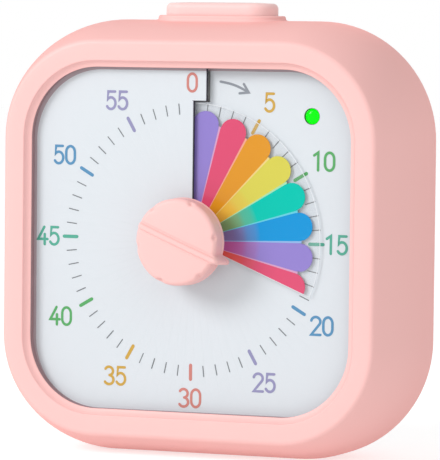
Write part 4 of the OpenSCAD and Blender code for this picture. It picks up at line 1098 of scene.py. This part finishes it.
high = dial_top(360)
slit_strip("slit_lip", [(0, SLIT_NEAR, 1, 0), (0, TAB_UP, 1, 0)], high - LIP_DEEP, high - LIP_UNDER,
           dial_plastic, LIP_T)
slit_strip("slit_strip_low", [(LIP_T, SLIT_NEAR, 1, 0), (LIP_T, TAB_UP, 1, 0)], high - LIP_DEEP,
           high - LOW_UNDER, thick=LOW_STRIP_T)
slit_strip("slit_strip_step", [(0, TAB_UP, 0, -1), (TAB_X, TAB_UP, 0, -1)], high - STEP_DEEP,
           high - EDGE_UNDER)
slit_strip("slit_strip_high", [(TAB_X, TAB_UP, 1, 0), (TAB_X, SLIT_FAR, 1, 0)], high - HIGH_DEEP,
           high - EDGE_UNDER)
print("the slit's high side in millimetres:", high)

# %% [markdown]
# ## Lamp
# The lamp is a clear green dome in a small hole, lit from inside. A lamp object behind clear plastic
# would be noisy at this size, so the dome's own material glows a little and still shades like plastic,
# with a small highlight. Its hole shows as a dark green crescent of shade, which is painted: a thin dark
# green ring stands round the dome, and the dome sits a little off the ring's middle. Both are turned
# from a section about an axis that stands out of the dial.

# %% Lamp
LAMP_X, LAMP_UP, LENS_R = 25.7, 25.8, 1.52
LENS_X, LENS_UP = LAMP_X + 0.08, LAMP_UP - 0.04
LENS_FOOT, LENS_SIDE, LENS_RISE, AXIS_R = -1.1, -0.45, 0.6, 0.002
RING_R, RING_T, RING_LOW, RING_HIGH = 1.61, 0.04, -0.9, -0.01


def lathe(name, section, middle, mat, body, steps=48):
    """A closed solid from a section of (radius, height) points turned about an axis out of the dial."""
    points, faces = [], []
    count = len(section)
    for k in range(steps):
        a = 2 * math.pi * k / steps
        points += [place(middle[0] + r * math.cos(a), middle[1] + r * math.sin(a), h) for r, h in section]
    for k in range(steps):
        a, b = k * count, (k + 1) % steps * count
        faces += [(a + i, a + (i + 1) % count, b + (i + 1) % count, b + i) for i in range(count)]
    return solid(name, points, faces, mat, body, smooth=True)


lamp_level = dial_top(turn_at(LAMP_X, LAMP_UP))
lamp = finish("green_lamp", "00F008", 0.15, grain=1.0, bump=0.01, uneven=0.02, patch=3,
              Specular_IOR_Level=0.08, Coat_Weight=0.15, Coat_Roughness=0.05, Emission_Strength=0.5,
              Emission_Color=paint("00FF08"))
# A dark green finish: painted shade of the lamp's hole.
lamp_hole_painted_shade = finish("lamp_hole_painted_shade", "0C7A22", 0.3, grain=0.5, bump=0.05, uneven=0.05, patch=2)
wear(lamp, "indicator_led")
dome = [(AXIS_R, LENS_FOOT), (LENS_R, LENS_FOOT), (LENS_R, LENS_SIDE)]
dome += sweep((0, LENS_SIDE), (LENS_R, LENS_RISE), 12, 84, 6) + [(AXIS_R, LENS_SIDE + LENS_RISE)]
lathe("lamp_lens", [(r, lamp_level + h) for r, h in dome], (LENS_X, LENS_UP), lamp, "casing")
ring = [(RING_R, RING_LOW), (RING_R + RING_T, RING_LOW), (RING_R + RING_T, RING_HIGH), (RING_R, RING_HIGH)]
lathe("lamp_ring", [(r, lamp_level + h) for r, h in ring], (LAMP_X, LAMP_UP), lamp_hole_painted_shade, "casing")
print("lamp at millimetres across and up:", LAMP_X, LAMP_UP)

# %% [markdown]
# ## Floor
# A pale floor carries the timer's soft shadow. Its own colour is a light grey, and an even glow lifts
# it close to the white of the background. Rays straight from the camera get a little more of the glow
# than the rest, so the floor looks white and yet doesn't light the sleeve from below as a white one would.

# %% Floor
FLOOR_HALF, FLOOR_DROP = 3, 0.0001
GLOW, GLOW_SEEN = 0.36, 0.2

floor_mesh = bpy.data.meshes.new("floor")
floor_mesh.from_pydata([(x * FLOOR_HALF, y * FLOOR_HALF, 0) for x, y in
                        ((-1, -1), (1, -1), (1, 1), (-1, 1))], [], [(0, 1, 2, 3)])
floor = bpy.data.objects.new("floor", floor_mesh)
floor.location.z = cad_low.z - FLOOR_DROP
bpy.context.collection.objects.link(floor)
floor_finish = finish("floor", "CCCCCC", 0.7, grain=2, bump=0.02, uneven=0.004, patch=300)
floor_mesh.materials.append(floor_finish)
links, floor_nodes = floor_finish.node_tree.links, floor_finish.node_tree.nodes
glow = floor_nodes.new("ShaderNodeEmission")
sight = floor_nodes.new("ShaderNodeLightPath")
share = floor_nodes.new("ShaderNodeMath")
share.operation = "MULTIPLY_ADD"
share.inputs[1].default_value = GLOW_SEEN
share.inputs[2].default_value = GLOW
both = floor_nodes.new("ShaderNodeAddShader")
links.new(sight.outputs["Is Camera Ray"], share.inputs[0])
links.new(share.outputs["Value"], glow.inputs["Strength"])
links.new(floor_nodes["Principled BSDF"].outputs["BSDF"], both.inputs[0])
links.new(glow.outputs["Emission"], both.inputs[1])
links.new(both.outputs["Shader"], floor_nodes["Material Output"].inputs["Surface"])
floor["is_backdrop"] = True
print("floor at metres:", round(floor.location.z, 4))

# %% [markdown]
# ## World
# The room is white where it is looked at, straight, in a mirror or through something clear, so metal
# and gloss show the same white as the background. To all other rays it is dimmer, which lights the
# timer evenly from all round and still leaves the shading to the lamps.

# %% World
ROOM_LIGHT, WHITE = 0.56, (1, 1, 1, 1)

world = bpy.data.worlds.new("studio")
bpy.context.scene.world = world
world.use_nodes = True
tree = world.node_tree
room, output = tree.nodes["Background"], tree.nodes["World Output"]
room.inputs["Color"].default_value = WHITE
room.inputs["Strength"].default_value = ROOM_LIGHT
white = tree.nodes.new("ShaderNodeBackground")
white.inputs["Color"].default_value = WHITE
white.inputs["Strength"].default_value = 1
path = tree.nodes.new("ShaderNodeLightPath")
seen = tree.nodes.new("ShaderNodeMath")
seen.operation = "MAXIMUM"
either = tree.nodes.new("ShaderNodeMath")
either.operation = "MAXIMUM"
choose = tree.nodes.new("ShaderNodeMixShader")
tree.links.new(path.outputs["Is Camera Ray"], seen.inputs[0])
tree.links.new(path.outputs["Is Glossy Ray"], seen.inputs[1])
tree.links.new(seen.outputs["Value"], either.inputs[0])
tree.links.new(path.outputs["Is Transmission Ray"], either.inputs[1])
tree.links.new(either.outputs["Value"], choose.inputs["Fac"])
tree.links.new(room.outputs["Background"], choose.inputs[1])
tree.links.new(white.outputs["Background"], choose.inputs[2])
tree.links.new(choose.outputs["Shader"], output.inputs["Surface"])
print("room light on the timer:", ROOM_LIGHT)

# %% [markdown]
# ## Lamps
# A large square lamp in front at the upper left gives the soft shadows that fall to the right, and a
# weaker, wider one at the right lifts the shaded side. Large lamps close by have the soft edge of a
# studio's light boxes, where a point or a sun would cut hard shadows.

# %% Lamps
KEY_AT, KEY_SIZE, KEY_POWER = (-0.75, -0.95, 0.68), 0.55, 9.9
FILL_AT, FILL_SIZE, FILL_POWER = (0.7, -0.6, 0.6), 0.8, 1.2
LIT_POINT = (0, 0, 0.045)


def lamp_box(name, at, aim, size, power):
    """A square area lamp that points at a place."""
    data = bpy.data.lights.new(name, "AREA")
    data.shape = "SQUARE"
    data.size = size
    data.energy = power
    light = bpy.data.objects.new(name, data)
    bpy.context.collection.objects.link(light)
    light.location = at
    light.rotation_mode = "QUATERNION"
    light.rotation_quaternion = (Vector(aim) - Vector(at)).to_track_quat("-Z", "Y")


lamp_box("key_lamp", KEY_AT, LIT_POINT, KEY_SIZE, KEY_POWER)
lamp_box("fill_lamp", FILL_AT, LIT_POINT, FILL_SIZE, FILL_POWER)
print("lamps:", len(bpy.data.lights))

# %% [markdown]
# ## Sizes and the end
# The box of the solids was measured when they were loaded, and the box of the dressed model is printed
# here in millimetres. The dressed model has to keep the solids' size.

# %% Finish
low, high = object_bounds()
print("box in millimetres:", [round((b - a) * PER_METRE, 2) for a, b in zip(low, high)])
